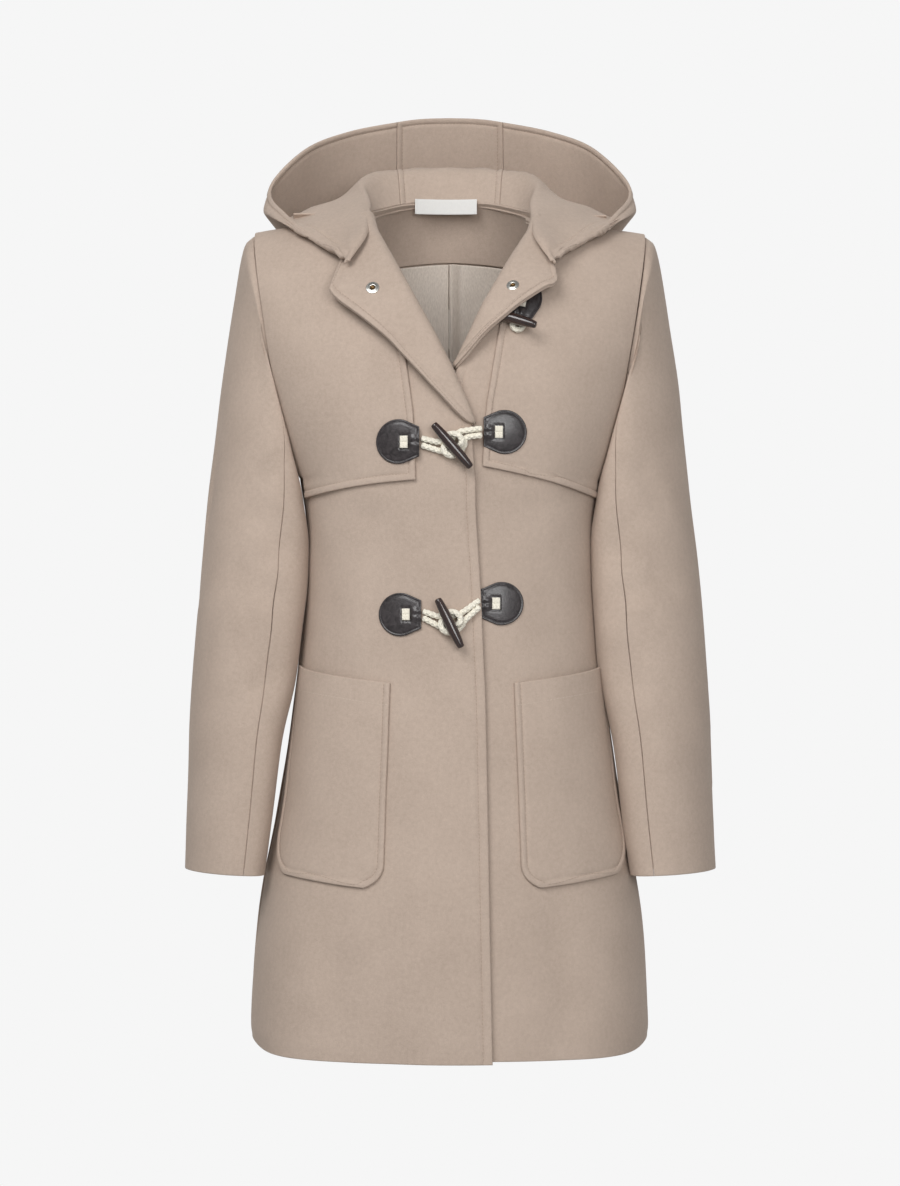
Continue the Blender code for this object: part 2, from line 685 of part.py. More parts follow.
# half of the hood from the back centre round to the notch on the lapel. Each row is one path
# through the cloth: neck seam, fold, down inside, bottom of the hollow, up outside, opening edge
HOOD = [
    HoodStation("back centre", Vector((0, 0.0732, 0.0205)), Vector((0, 0.0900, 0.0540)),
                Vector((0, 0.1230, -0.0500)), Vector((0, 0.1420, -0.1950)),
                Vector((0, 0.1980, -0.0650)), Vector((0, 0.1400, 0.1160))),
    HoodStation("centre panel", Vector((0.0275, 0.0688, 0.0195)), Vector((0.0270, 0.0895, 0.0535)),
                Vector((0.0280, 0.1220, -0.0500)), Vector((0.0290, 0.1405, -0.1900)),
                Vector((0.0290, 0.1960, -0.0640)), Vector((0.0280, 0.1390, 0.1150))),
    HoodStation("panel seam", Vector((0.0500, 0.0583, 0.0152)), Vector((0.0535, 0.0860, 0.0515)),
                Vector((0.0550, 0.1190, -0.0450)), Vector((0.0560, 0.1370, -0.1750)),
                Vector((0.0570, 0.1900, -0.0600)), Vector((0.0545, 0.1350, 0.1110))),
    HoodStation("back quarter", Vector((0.0680, 0.0410, 0.0110)), Vector((0.0780, 0.0720, 0.0480)),
                Vector((0.0880, 0.1130, -0.0300)), Vector((0.0930, 0.1300, -0.1350)),
                Vector((0.1060, 0.1680, -0.0450)), Vector((0.1040, 0.1200, 0.0990))),
    HoodStation("side back", Vector((0.0790, 0.0170, 0.0050)), Vector((0.0900, 0.0480, 0.0370)),
                Vector((0.1180, 0.0860, 0.0000)), Vector((0.1300, 0.1060, -0.0680)),
                Vector((0.1500, 0.1270, -0.0130)), Vector((0.1470, 0.0900, 0.0770))),
    HoodStation("side", Vector((0.0815, -0.0040, 0.0000)), Vector((0.0850, 0.0060, 0.0170)),
                Vector((0.1320, 0.0330, 0.0110)), Vector((0.1620, 0.0420, -0.0060)),
                Vector((0.1840, 0.0460, 0.0060)), Vector((0.1800, 0.0500, 0.0340))),
    HoodStation("shoulder", Vector((0.0810, -0.0240, -0.0050)), Vector((0.0830, -0.0260, 0.0005)),
                Vector((0.1150, -0.0160, -0.0015)), Vector((0.1440, -0.0300, -0.0135)),
                Vector((0.1640, -0.0240, -0.0095)), Vector((0.1600, -0.0120, 0.0005))),
    HoodStation("front", Vector((0.0800, -0.0500, -0.0160)), Vector((0.0830, -0.0540, -0.0140)),
                Vector((0.0980, -0.0570, -0.0215)), Vector((0.1130, -0.0680, -0.0355)),
                Vector((0.1250, -0.0660, -0.0350)), Vector((0.1250, -0.0590, -0.0305))),
    HoodStation("collar", Vector((0.0890, -0.0775, -0.0290)), Vector((0.0910, -0.0790, -0.0285)),
                Vector((0.0970, -0.0810, -0.0340)), Vector((0.1040, -0.0840, -0.0450)),
                Vector((0.1095, -0.0815, -0.0445)), Vector((0.1090, -0.0775, -0.0400))),
    HoodStation("notch", Vector((0.0925, -0.0900, -0.0400)), Vector((0.0945, -0.0910, -0.0395)),
                Vector((0.0985, -0.0910, -0.0415)), Vector((0.1010, -0.0910, -0.0445)),
                Vector((0.1030, -0.0900, -0.0445)), Vector((0.1045, -0.0890, -0.0430))),
]
HOOD_FIELDS = HoodStation._fields[1:]
HOOD_PATH = [0, 0.35, 0.7, 1.0, 1.3, 1.65, 2.0, 2.4, 2.75, 3.05, 3.4, 3.8, 4.3, 4.7, 5.0]
PANEL_STATION = 2.0          # the side panels meet the centre panel here
SIDE_STATIONS = [2.0, 2.2, 2.7, 3.3, 4.0, 4.5, 5.0, 5.5, 6.0, 6.5, 7.0, 7.5, 8.0, 8.5, 9.0]


def hood_point(side, station, place):
    path = [smooth(column(HOOD, field), station) for field in HOOD_FIELDS]
    point = smooth(path, place).copy()
    point.x *= side
    return point


def make_hood():
    gap = 1.6 * SEAM / 0.027
    points = {}
    for row, place in enumerate(HOOD_PATH):
        for col, station in enumerate(
                (-2 + gap, -1.8, -1.0, 0.0, 1.0, 1.8, 2 - gap)):
            points[row, col] = hood_point(math.copysign(1.0, station), abs(station), place)
    cloth("hood_centre", points, WOOL, "wool", flip=False)
    for which, side in SIDES.items():
        points = {}
        for row, place in enumerate(HOOD_PATH):
            for col, station in enumerate(SIDE_STATIONS):
                station = max(station, PANEL_STATION + gap)
                points[row, col] = hood_point(side, station, place)
        cloth(f"hood_side_{which}", points, WOOL, "wool", flip=side < 0)


# ---------------------------------------------------------------- facings, lining and label
FACING_DEEP = WOOL + LAY     # a facing's near face below the wool's outer face


def make_facing(which):
    """The wool facing that shows on the turned lapel, with the strip that runs back inside."""
    right = which == "right"
    points = moved_out(front_grid(which), -FACING_DEEP, flip=right)
    last = len(NECK_ROWS) + len(LAPELS[which])
    strip = {(row, col): point for (row, col), point in points.items() if row < last and col < 2}
    for row in range(last):
        strip[row, 1] = mix(points[row, 0], points[row, 1], FACING_INSIDE_SHARE)
    for col in (0, 1):
        strip[0, col] = mix(strip[0, col], strip[1, col], SHORT_OF_SHOULDER)
    return cloth(f"facing_{which}", strip, FACING, "facing", flip=right)


SHORT_OF_SHOULDER = 0.10     # facings stop short of the shoulder seam, a share of their first row
NECK_FACING_COLS = 6         # columns of the back that its neck facing covers
LINING_DEEP = FACING_DEEP + 0.0005
PLEAT_WIDTH, PLEAT_DEPTH = 0.009, 0.0045
LINING_SHORT = 0.04          # how far the lining stops short of the facing and of the hem


def make_neck_facing():
    points = {key: point
              for key, point in moved_out(back_sheet(BACK_LEVELS, BACK_COLS, 0.0), -FACING_DEEP).items()
              if key[0] < NECK_FACING_ROWS and abs(key[1]) <= NECK_FACING_COLS}
    for col in range(-NECK_FACING_COLS, NECK_FACING_COLS + 1):
        points[0, col] = mix(points[0, col], points[1, col], SHORT_OF_SHOULDER)
    return cloth("facing_back_neck", points, FACING, "facing")


def make_lining():
    """The satin back lining; its wearing ease is laid in a pleat down the centre."""
    inside = moved_out(back_sheet(BACK_LEVELS, BACK_COLS, 0.0), -LINING_DEEP)
    points = {}
    rows = range(NECK_FACING_ROWS - 1, len(BACK_LEVELS))
    for row in rows:
        upper, lower = row == rows[0], row == rows[-1]
        for col in range(-BACK_COLS, BACK_COLS + 1):
            point = inside[row, col]
            if upper:
                point = mix(point, inside[row + 1, col], LINING_SHORT)
            if lower:
                point = mix(point, inside[row - 1, col], LINING_SHORT * 4)
            points[row, col + 2 * (col > 0) - 2 * (col < 0)] = point
        for side in (1, -1):
            near, far = points[row, 0], points[row, 3 * side]
            reach = PLEAT_WIDTH / (far - near).length
            points[row, 2 * side] = mix(near, far, reach)
            points[row, side] = mix(near, far, reach * 0.35)
    for row in rows:
        points[row, 0] = points[row, 0] + Vector((0, -PLEAT_DEPTH, 0))
    return cloth("lining_back", points, LINING, "lining")


Label = namedtuple("Label", "x width foot_z top_level thick")
LABEL = Label(-0.0040, 0.0600, 0.0085, 0.09, 0.0008)


def make_label():
    """A blank woven label that hangs from the neck seam over the neck facing."""
    points = {}
    deep = -(FACING_DEEP + FACING + 4 * LAY)
    for col in range(7):
        x = LABEL.x + LABEL.width * (col / 6 - 0.5)
        turn = turn_at(LABEL.top_level, x, True)
        top = body(math.copysign(1.0, x), LABEL.top_level, turn, deep)
        foot = on_body(1.0, x, LABEL.foot_z, deep, True)
        for row in range(3):
            points[row, col] = mix(top, foot, row / 2)
    return cloth("label", points, LABEL.thick, "label", flip=True)


# ---------------------------------------------------------------- pockets
POCKET_OUT = LAY + WOOL
POCKET_BULGE = 0.0035        # how far the empty pocket's mouth stands off
POCKET_RADIUS = 0.020
POCKET_TOP = (0.0575, -0.4550, 76.0, -0.4400)   # inner x and z, outer turn and z of the mouth
POCKET_LOW = (0.0650, -0.6480, 71.0, -0.6330)
POCKET_SHIFT = {"right": -0.0020, "left": 0.0025}
POCKET_COLS = 7


def make_pocket(which):
    side = SIDES[which]
    points = {}
    tall = POCKET_TOP[1] - POCKET_LOW[1]
    rounds = [POCKET_RADIUS * share / tall for share in (1.0, 0.5, 0.16, 0.0)]
    shares = [0, 0.2, 0.42, 0.64] + [1 - r for r in rounds]
    for row, share in enumerate(shares):
        inner_x, inner_z, outer_turn_, outer_z = (
            mix(a, b, share) for a, b in zip(POCKET_TOP, POCKET_LOW))
        inner_level = level_at(inner_x, inner_z)
        outer_level = level_at(0.12, outer_z)
        inside = turn_at(inner_level, inner_x + POCKET_SHIFT[which])
        rest = (1 - share) * tall
        inset = 0.0
        if rest < POCKET_RADIUS:
            inset = POCKET_RADIUS - math.sqrt(POCKET_RADIUS**2 - (POCKET_RADIUS - rest)**2)
        inset_turn = math.degrees(inset / 0.15)
        for col in range(POCKET_COLS + 1):
            part = col / POCKET_COLS
            bulge = POCKET_BULGE * (1 - ease(share * 1.6)) * math.sin(math.pi * part)
            points[row, col] = body(side, mix(inner_level, outer_level, part),
                                    mix(inside + inset_turn, outer_turn_ - inset_turn, part),
                                    POCKET_OUT + bulge)
    return cloth(f"pocket_{which}", points, WOOL, "wool", flip=side < 0)


# ---------------------------------------------------------------- fastenings
PATCH_RADIUS, PATCH_FLAT, PATCH_FLAT_HALF, PATCH_CROWN = 0.0205, 0.0198, 0.0135, 0.0012
PATCH_ARC = 110              # half of the round edge, in degrees from the far side
TOGGLE_LONG, TOGGLE_RADIUS, TOGGLE_END = 0.054, 0.0050, 0.0035
CORD_RADIUS = 0.0026
CORD_CLEAR = 0.0016          # from a patch's flat edge to the cord that leaves it
BAR = Vector((0.0085, 0.0022, 0.0115))
BAR_ASIDE = 0.0055           # of the patch's centre, towards its flat edge

PatchPlace = namedtuple("PatchPlace", "name side x z lies turn")
# centre of each leather patch from the front, the height of what it lies on, and how far its
# flat edge is turned down from facing the opening, in degrees
PATCHES = [
    PatchPlace("patch_top_right", "right", -0.0737, -0.0893, FLAP_OUT, 0),
    PatchPlace("patch_top_left", "left", 0.0665, -0.0905, FLAP_OUT, 80),
    PatchPlace("patch_mid_right", "right", -0.0478, -0.2270, FLAP_OUT, 0),
    PatchPlace("patch_mid_left", "left", 0.0510, -0.2180, FLAP_OUT - 0.0007, 0),
    PatchPlace("patch_low_right", "right", -0.0473, -0.3905, 0.0, 0),
    PatchPlace("patch_low_left", "left", 0.0487, -0.3800, 0.0, 0),
]
PATCH = {place.name: place for place in PATCHES}


def on_patch(place, towards, up):
    """Where a place on a patch is from the front: towards its flat edge, and up along it."""
    turn = math.radians(place.turn)
    x = towards * math.cos(turn) + up * math.sin(turn)
    z = up * math.cos(turn) - towards * math.sin(turn)
    return Vector((place.x - SIDES[place.side] * x, place.z + z))


def patch_outline(count=9):
    """Round leather patch with a flat edge towards the opening, which is +X here."""
    outline = []
    for i in range(count + 1):
        angle = math.radians(180 + PATCH_ARC * (2 * i / count - 1))
        outline.append(Vector((PATCH_RADIUS * math.cos(angle), PATCH_RADIUS * math.sin(angle))))
    outline.append(Vector((PATCH_FLAT, -PATCH_FLAT_HALF)))
    outline.append(Vector((PATCH_FLAT, PATCH_FLAT_HALF)))
    return outline


def make_patch(place):
    side = SIDES[place.side]
    outline = patch_outline()
    sheet = bmesh.new()

    def corner(at, share):
        height = place.lies + LAY + LEATHER + PATCH_CROWN * (1 - share * share)
        spot = on_patch(place, at.x * share, at.y * share)
        return sheet.verts.new(on_body(side, spot.x, spot.y, height))

    rim = [corner(at, 1.0) for at in outline]
    inner = [corner(at, 0.6) for at in outline]
    middle = corner(Vector((0, 0)), 0.0)
    for i in range(len(outline)):
        j = (i + 1) % len(outline)
        faces = ([rim[i], rim[j], inner[j], inner[i]], [inner[i], inner[j], middle])
        for loop in faces:
            sheet.faces.new(loop if side < 0 else loop[::-1])
    mesh = bpy.data.meshes.new(place.name)
    sheet.to_mesh(mesh)
    sheet.free()
    obj = bpy.data.objects.new(place.name, mesh)
    bpy.context.scene.collection.objects.link(obj)
    wall = obj.modifiers.new("leather thickness", "SOLIDIFY")
    wall.thickness = LEATHER
    wall.offset = -1.0
    return finish(obj, "leather")


def make_bar(place):
    """The square of cord that shows where it is threaded through the patch."""
    side = SIDES[place.side]
    spot = on_patch(place, BAR_ASIDE, 0.0)
    height = place.lies + LAY + LEATHER + PATCH_CROWN
    seat = on_body(side, spot.x, spot.y, height + LAY + BAR.y / 2)
    out = (seat - on_body(side, spot.x, spot.y, 0.0)).normalized()
    bpy.ops.mesh.primitive_cube_add(size=1.0)
    bar = bpy.context.object
    bar.name = place.name.replace("patch", "cord_bar")
    for vertex in bar.data.vertices:
        vertex.co = Vector(a * b for a, b in zip(vertex.co, BAR))
    bar.rotation_mode = "QUATERNION"
    bar.rotation_quaternion = (Vector((0, -1, 0)).rotation_difference(out)
                               @ Quaternion((0, 1, 0), math.radians(-side * place.turn)))
    bar.location = seat
    edge = bar.modifiers.new("soft edges", "BEVEL")
    edge.width = 0.0006
    edge.segments = 1
    return finish(bar, "cord")


TogglePlace = namedtuple("TogglePlace", "name x z lean top_height low_height")
# centre of each toggle from the front, its lean from upright in degrees (top towards the
# wearer's right) and the height of its axis over the body at its two ends
TOGGLES = [
    TogglePlace("toggle_top", 0.0662, -0.1112, 74, 0.0078, 0.0256),
    TogglePlace("toggle_mid", 0.0018, -0.2310, 41, 0.0169, 0.0169),
    TogglePlace("toggle_low", -0.0006, -0.3975, 25, 0.0168, 0.0168),
]
TOGGLE = {place.name: place for place in TOGGLES}
TOGGLE["none"] = TogglePlace("none", 0, 0, 0, 0, 0)     # a loose loop is placed from the origin


def toggle_axis(place):
    """Middle and upward direction of a toggle."""
    lean = math.radians(place.lean)
    reach = Vector((-math.sin(lean), math.cos(lean))) * TOGGLE_LONG * 0.48
    top = on_body(1.0, place.x + reach.x, place.z + reach.y, place.top_height)
    low = on_body(1.0, place.x - reach.x, place.z - reach.y, place.low_height)
    return (top + low) / 2, (top - low).normalized()


def make_toggle(place):
    """A turned horn toggle: a round bar, fuller in the middle."""
    half = TOGGLE_LONG / 2
    profile = [(0.0, half), (TOGGLE_END * 0.72, half - 0.0005), (TOGGLE_END, half - 0.0022),
               (TOGGLE_RADIUS * 0.92, half * 0.45)]
    profile += [(TOGGLE_RADIUS, 0.0)] + [(radius, -height) for radius, height in reversed(profile)]
    mesh = bpy.data.meshes.new(place.name)
    mesh.from_pydata([(r, 0, h) for r, h in profile],
                     [(i, i + 1) for i in range(len(profile) - 1)], [])
    obj = bpy.data.objects.new(place.name, mesh)
    bpy.context.scene.collection.objects.link(obj)
    turning = obj.modifiers.new("turned", "SCREW")
    turning.steps = turning.render_steps = 12
    turning.use_merge_vertices = True
    turning.merge_threshold = 0.00005
    middle, up = toggle_axis(place)
    obj.rotation_mode = "QUATERNION"
    obj.rotation_quaternion = Vector((0, 0, 1)).rotation_difference(up)
    obj.location = middle
    return finish(obj, "toggle")


CordPoint = namedtuple("CordPoint", "along across height")
# turns of the cords about their toggle: up its axis, across it towards the wearer's left, and
# the height of the cord's axis over the body
LOOP_TURN = [
    CordPoint(0.0140, -0.0050, 0.0088), CordPoint(0.0135, 0.0020, 0.0090),
    CordPoint(0.0110, 0.0075, 0.0118), CordPoint(0.0060, 0.0118, 0.0144),
    CordPoint(0.0000, 0.0138, 0.0146), CordPoint(-0.0050, 0.0130, 0.0144),
    CordPoint(-0.0080, 0.0093, 0.0142), CordPoint(-0.0070, 0.0045, 0.0096),
    CordPoint(-0.0060, 0.0000, 0.0089), CordPoint(-0.0030, -0.0050, 0.0088),
    CordPoint(0.0010, -0.0100, 0.0088),
]
TOGGLE_TURN = [
    CordPoint(0.0040, 0.0160, 0.0088), CordPoint(0.0055, 0.0100, 0.0088),
    CordPoint(0.0068, 0.0040, 0.0088), CordPoint(0.0070, -0.0020, 0.0088),
    CordPoint(0.0068, -0.0052, 0.0102), CordPoint(0.0045, -0.0074, 0.0134),
    CordPoint(0.0005, -0.0080, 0.0145), CordPoint(-0.0035, -0.0078, 0.0143),
    CordPoint(-0.0075, -0.0064, 0.0126), CordPoint(-0.0105, -0.0036, 0.0100),
    CordPoint(-0.0130, -0.0005, 0.0089), CordPoint(-0.0140, 0.0035, 0.0088),
    CordPoint(-0.0125, 0.0090, 0.0088), CordPoint(-0.0075, 0.0160, 0.0088),
]
HANG_TURN = [
    CordPoint(0.0063, -0.0045, 0.0061), CordPoint(0.0070, -0.0078, 0.0063),
    CordPoint(0.0060, -0.0110, 0.0066), CordPoint(0.0010, -0.0128, 0.0068),
    CordPoint(-0.0040, -0.0110, 0.0066), CordPoint(-0.0050, -0.0078, 0.0063),
    CordPoint(-0.0015, -0.0045, 0.0061),
]
LOOSE_LOOP = [
    CordPoint(-0.0905, -0.0490, 0.0088), CordPoint(-0.1000, -0.0440, 0.0084),
    CordPoint(-0.1110, -0.0395, 0.0083), CordPoint(-0.1200, -0.0368, 0.0083),
    CordPoint(-0.1250, -0.0375, 0.0083), CordPoint(-0.1265, -0.0405, 0.0083),
    CordPoint(-0.1225, -0.0432, 0.0083), CordPoint(-0.1120, -0.0460, 0.0083),
    CordPoint(-0.1030, -0.0480, 0.0085), CordPoint(-0.0970, -0.0498, 0.0090),
]
CordPlace = namedtuple("CordPlace", "name toggle patch turns height")
CORDS = [
    CordPlace("cord_loop_mid", "toggle_mid", "patch_mid_right", LOOP_TURN, 0.0088),
    CordPlace("cord_toggle_mid", "toggle_mid", "patch_mid_left", TOGGLE_TURN, 0.0088),
    CordPlace("cord_loop_low", "toggle_low", "patch_low_right", LOOP_TURN, 0.0088),
    CordPlace("cord_toggle_low", "toggle_low", "patch_low_left", TOGGLE_TURN, 0.0088),
    CordPlace("cord_loop_top", "none", "patch_top_right", LOOSE_LOOP, 0.0094),
    CordPlace("cord_toggle_top", "toggle_top", "patch_top_left", HANG_TURN, 0.0062),
]
CORD_APART = 0.0031          # half the distance between two strands where they leave a patch


def route_of(cord, step=0.0035):
    """Even points on a smooth curve from the patch round the toggle and back."""
    toggle = TOGGLE[cord.toggle]
    lean = math.radians(toggle.lean)
    up, over = Vector((-math.sin(lean), math.cos(lean))), Vector((math.cos(lean), math.sin(lean)))
    patch = PATCH[cord.patch]
    flat = on_patch(patch, PATCH_FLAT + CORD_CLEAR, 0.0) - Vector((toggle.x, toggle.z))
    aside = on_patch(patch, PATCH_FLAT + CORD_CLEAR, CORD_APART)
    aside = aside - on_patch(patch, PATCH_FLAT + CORD_CLEAR, 0.0)
    if aside.dot(up) < 0:
        aside = -aside
    places = [flat + aside] + [up * p.along + over * p.across for p in cord.turns] + [flat - aside]
    heights = [cord.height] + [p.height for p in cord.turns] + [cord.height]
    spots = [on_body(1.0, toggle.x + place.x, toggle.z + place.y, height)
             for place, height in zip(places, heights)]
    fine = [smooth(spots, i / 16) for i in range(16 * (len(spots) - 1) + 1)]
    route, run = [fine[0]], 0.0
    for a, b in zip(fine, fine[1:]):
        run += (b - a).length
        if run >= step:
            route.append(b)
            run = 0.0
    route[-1] = fine[-1]
    return route


def make_cord(cord):
    curve = bpy.data.curves.new(cord.name, "CURVE")
    curve.dimensions = "3D"
    curve.bevel_depth = CORD_RADIUS
    curve.bevel_resolution = 2
    curve.use_fill_caps = True
    spline = curve.splines.new("POLY")
    route = route_of(cord)
    spline.points.add(len(route) - 1)
    for point, place in zip(spline.points, route):
        point.co = (*place, 1.0)
    obj = bpy.data.objects.new(cord.name, curve)
    bpy.context.scene.collection.objects.link(obj)
    return finish(obj, "cord")


# ---------------------------------------------------------------- press studs
SnapPlace = namedtuple("SnapPlace", "side x z radius lift")
SNAPS = [SnapPlace("right", -0.0738, -0.0814, 0.0064, 0.0003),
         SnapPlace("left", 0.0598, -0.0776, 0.0060, 0.0009)]
SNAP_THICK = 0.0016


def make_snap(place):
    """A press stud's socket, sewn on the lapel facing."""
    face = moved_out(front_grid(place.side), -(FACING_DEEP + FACING), flip=place.side == "right")
    seen = Vector((place.x, place.z))
    nearest = None
    for row, col in face:
        cell = [(row, col), (row + 1, col), (row, col - 1), (row + 1, col - 1)]
        if col > -FOLD_COLS or any(key not in face for key in cell):
            continue
        a, b, c, d = (face[key] for key in cell)
        for i in range(11):
            for k in range(11):
                spot = mix(mix(a, b, i / 10), mix(c, d, i / 10), k / 10)
                miss = (Vector((spot.x, spot.z)) - seen).length
                if nearest is None or miss < nearest[0]:
                    nearest = (miss, spot, (b - a).cross(c - a).normalized())
    _, seat, out = nearest
    if out.y > 0:
        out = -out
    profile = [(0.0, 0.0), (place.radius, 0.0), (place.radius, SNAP_THICK * 0.4),
               (place.radius * 0.72, SNAP_THICK), (place.radius * 0.34, SNAP_THICK),
               (place.radius * 0.24, SNAP_THICK * 0.45), (0.0, SNAP_THICK * 0.45)][::-1]
    mesh = bpy.data.meshes.new(f"snap_{place.side}")
    mesh.from_pydata([(r, 0, h) for r, h in profile],
                     [(i, i + 1) for i in range(len(profile) - 1)], [])
    obj = bpy.data.objects.new(mesh.name, mesh)
    bpy.context.scene.collection.objects.link(obj)
    turning = obj.modifiers.new("turned", "SCREW")
    turning.steps = turning.render_steps = 16
    turning.use_merge_vertices = True
    turning.merge_threshold = 0.00005
    obj.rotation_mode = "QUATERNION"
    obj.rotation_quaternion = Vector((0, 0, 1)).rotation_difference(out)
    obj.location = seat + out * place.lift
    return finish(obj, "snap")


# ---------------------------------------------------------------- the coat
for which in SIDES:
    make_front(which)
    make_flap(which)
    make_sleeve(which)
    make_facing(which)
    make_pocket(which)
make_back()
make_hood()
make_neck_facing()
make_lining()
make_label()
for patch_place in PATCHES:
    make_patch(patch_place)
    make_bar(patch_place)
for toggle_place in TOGGLES:
    make_toggle(toggle_place)
for cord_place in CORDS:
    make_cord(cord_place)
for snap_place in SNAPS:
    make_snap(snap_place)
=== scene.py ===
"""Hooded duffle coat in felted wool, worn open at the neck with its hood lying back.

Units are metres. +X is the wearer's left, the front faces -Y and +Z is up. The file follows the
coat as it is sewn: back, fronts, shoulder flaps, sleeves, hood, facings, lining, label, pockets,
then the leather, horn and cord fastenings, the press studs, and last the studio round it.
"""

import math
from collections import namedtuple

import bmesh
import bpy
import numpy as np
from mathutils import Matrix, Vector, noise


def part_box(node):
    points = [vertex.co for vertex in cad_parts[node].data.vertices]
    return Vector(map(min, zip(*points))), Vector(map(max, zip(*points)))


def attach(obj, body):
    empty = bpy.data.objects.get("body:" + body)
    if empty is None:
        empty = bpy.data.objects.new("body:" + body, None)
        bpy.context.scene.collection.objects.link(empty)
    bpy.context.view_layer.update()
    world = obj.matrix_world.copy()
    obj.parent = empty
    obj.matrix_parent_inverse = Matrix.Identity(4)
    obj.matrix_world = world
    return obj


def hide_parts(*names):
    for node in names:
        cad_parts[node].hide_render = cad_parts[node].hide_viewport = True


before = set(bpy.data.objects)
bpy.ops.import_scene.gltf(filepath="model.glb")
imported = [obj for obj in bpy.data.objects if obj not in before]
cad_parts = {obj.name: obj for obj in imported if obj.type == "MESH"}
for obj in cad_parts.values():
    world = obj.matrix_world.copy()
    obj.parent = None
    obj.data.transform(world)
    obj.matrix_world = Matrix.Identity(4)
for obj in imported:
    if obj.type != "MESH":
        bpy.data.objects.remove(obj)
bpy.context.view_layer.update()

# ---------------------------------------------------------------- camera
# One camera stands square on to the front of the coat, 3.2 m away and level with its waist.
# Its lens shows 0.98 mm of the coat to each line of a picture 1186 lines high.
EYE_AWAY, EYE_HEIGHT, LINES, PER_LINE = 3.2, -0.370, 1186, 0.00098

camera = bpy.data.objects.new("studio_camera", bpy.data.cameras.new("studio_camera"))
bpy.context.scene.collection.objects.link(camera)
camera.location = (0.0, -EYE_AWAY, EYE_HEIGHT)
camera.rotation_euler = (math.radians(90), 0, 0)
camera.data.sensor_fit = "VERTICAL"
camera.data.sensor_height = 36.0
camera.data.lens = 36.0 * EYE_AWAY / (LINES * PER_LINE)
bpy.context.scene.camera = camera

# ---------------------------------------------------------------- back
# The back is one piece of thick felted wool from shoulder seams to hem, shaped over the shoulder
# blades and flared below the waist. Its shape is a table of body levels, which the fronts share.
# Every sheet of cloth is closed and as thick as the wool, with its edges turned and rounded.
WOOL = 0.0025                # coat cloth, one layer with its seam turned
SEAM = 0.0004                # space kept between two pieces at a seam
LAY = 0.0006                 # space kept under a piece that lies on another
ROUNDNESS = 2.3              # body sections: 2 is an ellipse, more is squarer
BODY_RADIUS = 0.14           # makes a short way round the body into a turn
SOFTEN = 0.040               # rounds the rise of the cloth across the back of the neck
NECK_HALF, NECK_DEEP, NECK_LIFT = 0.081, 0.072, 0.017
ARM_TOP = Vector((0.1910, 0.0, -0.0200))
ARM_LOW = Vector((0.1470, 0.0, -0.2580))
ARM_FRONT, ARM_BACK, ARM_BELLY = 0.055, 0.062, 0.004

SIDES = {"right": -1.0, "left": 1.0}

Level = namedtuple("Level", "name arm side_z half front back neck rise")
BODY = [
    Level("shoulder seam", 0, 0.0, 0.0, 0.0000, 0.0000, 1.00, 0.155),
    Level("collar bone", 24, 0.0, 0.0, 0.0360, 0.0330, 0.76, 0.150),
    Level("shoulder blade", 47, 0.0, 0.0, 0.0690, 0.0660, 0.45, 0.135),
    Level("upper chest", 72, 0.0, 0.0, 0.0960, 0.0950, 0.17, 0.095),
    Level("chest", 98, 0.0, 0.0, 0.1130, 0.1120, 0.00, 0.045),
    Level("bust", 124, 0.0, 0.0, 0.1200, 0.1170, 0.00, 0.020),
    Level("below bust", 150, 0.0, 0.0, 0.1195, 0.1150, 0.00, 0.005),
    Level("underarm", 180, -0.258, 0.1470, 0.1175, 0.1110, 0.00, 0.000),
    Level("waist", 180, -0.320, 0.1405, 0.1130, 0.1010, 0.00, 0.000),
    Level("high hip", 180, -0.440, 0.1480, 0.1170, 0.1080, 0.00, 0.000),
    Level("hip", 180, -0.560, 0.1640, 0.1270, 0.1230, 0.00, 0.000),
    Level("thigh", 180, -0.680, 0.1850, 0.1360, 0.1340, 0.00, 0.000),
    Level("above hem", 180, -0.778, 0.1902, 0.1400, 0.1390, 0.00, 0.000),
    Level("hem", 180, -0.812, 0.1888, 0.1405, 0.1400, 0.00, 0.000),
]
HEM = len(BODY) - 1
UNDERARM = 7
HEM_LIFT, HEM_LIFT_TURN = 0.009, 22      # the hem rises a little at the sides

Drape = namedtuple("Drape", "name turn width depth start")
DRAPES = [
    Drape("front panel", 52, 20, 0.0040, 8.6),
    Drape("side", 98, 22, 0.0045, 8.2),
    Drape("back panel", 134, 20, 0.0050, 8.0),
    Drape("centre back", 168, 16, 0.0030, 9.0),
]

EdgePoint = namedtuple("EdgePoint", "x z")
BREAK_Z = -0.2118            # height at which the fronts begin to lap over each other
OVER_EDGE = [EdgePoint(0.0235, BREAK_Z), EdgePoint(0.0240, -0.2900), EdgePoint(0.0285, -0.3650),
             EdgePoint(0.0330, -0.4680), EdgePoint(0.0357, -0.6000), EdgePoint(0.0394, -0.8120)]
UNDER_LAP, LAP_RISE, LAP_SLOPE = 0.046, 0.0056, 0.060


def clamp(share):
    return min(max(share, 0.0), 1.0)


def ease(share):
    share = clamp(share)
    return share * share * (3 - 2 * share)


def mix(a, b, share):
    return a + (b - a) * share


def curve(a, b, start, stop, t):
    """A place between a and b on a smooth curve that has these slopes at its ends."""
    t2, t3 = t * t, t * t * t
    return (a * (2 * t3 - 3 * t2 + 1) + start * (t3 - 2 * t2 + t)
            + b * (3 * t2 - 2 * t3) + stop * (t3 - t2))


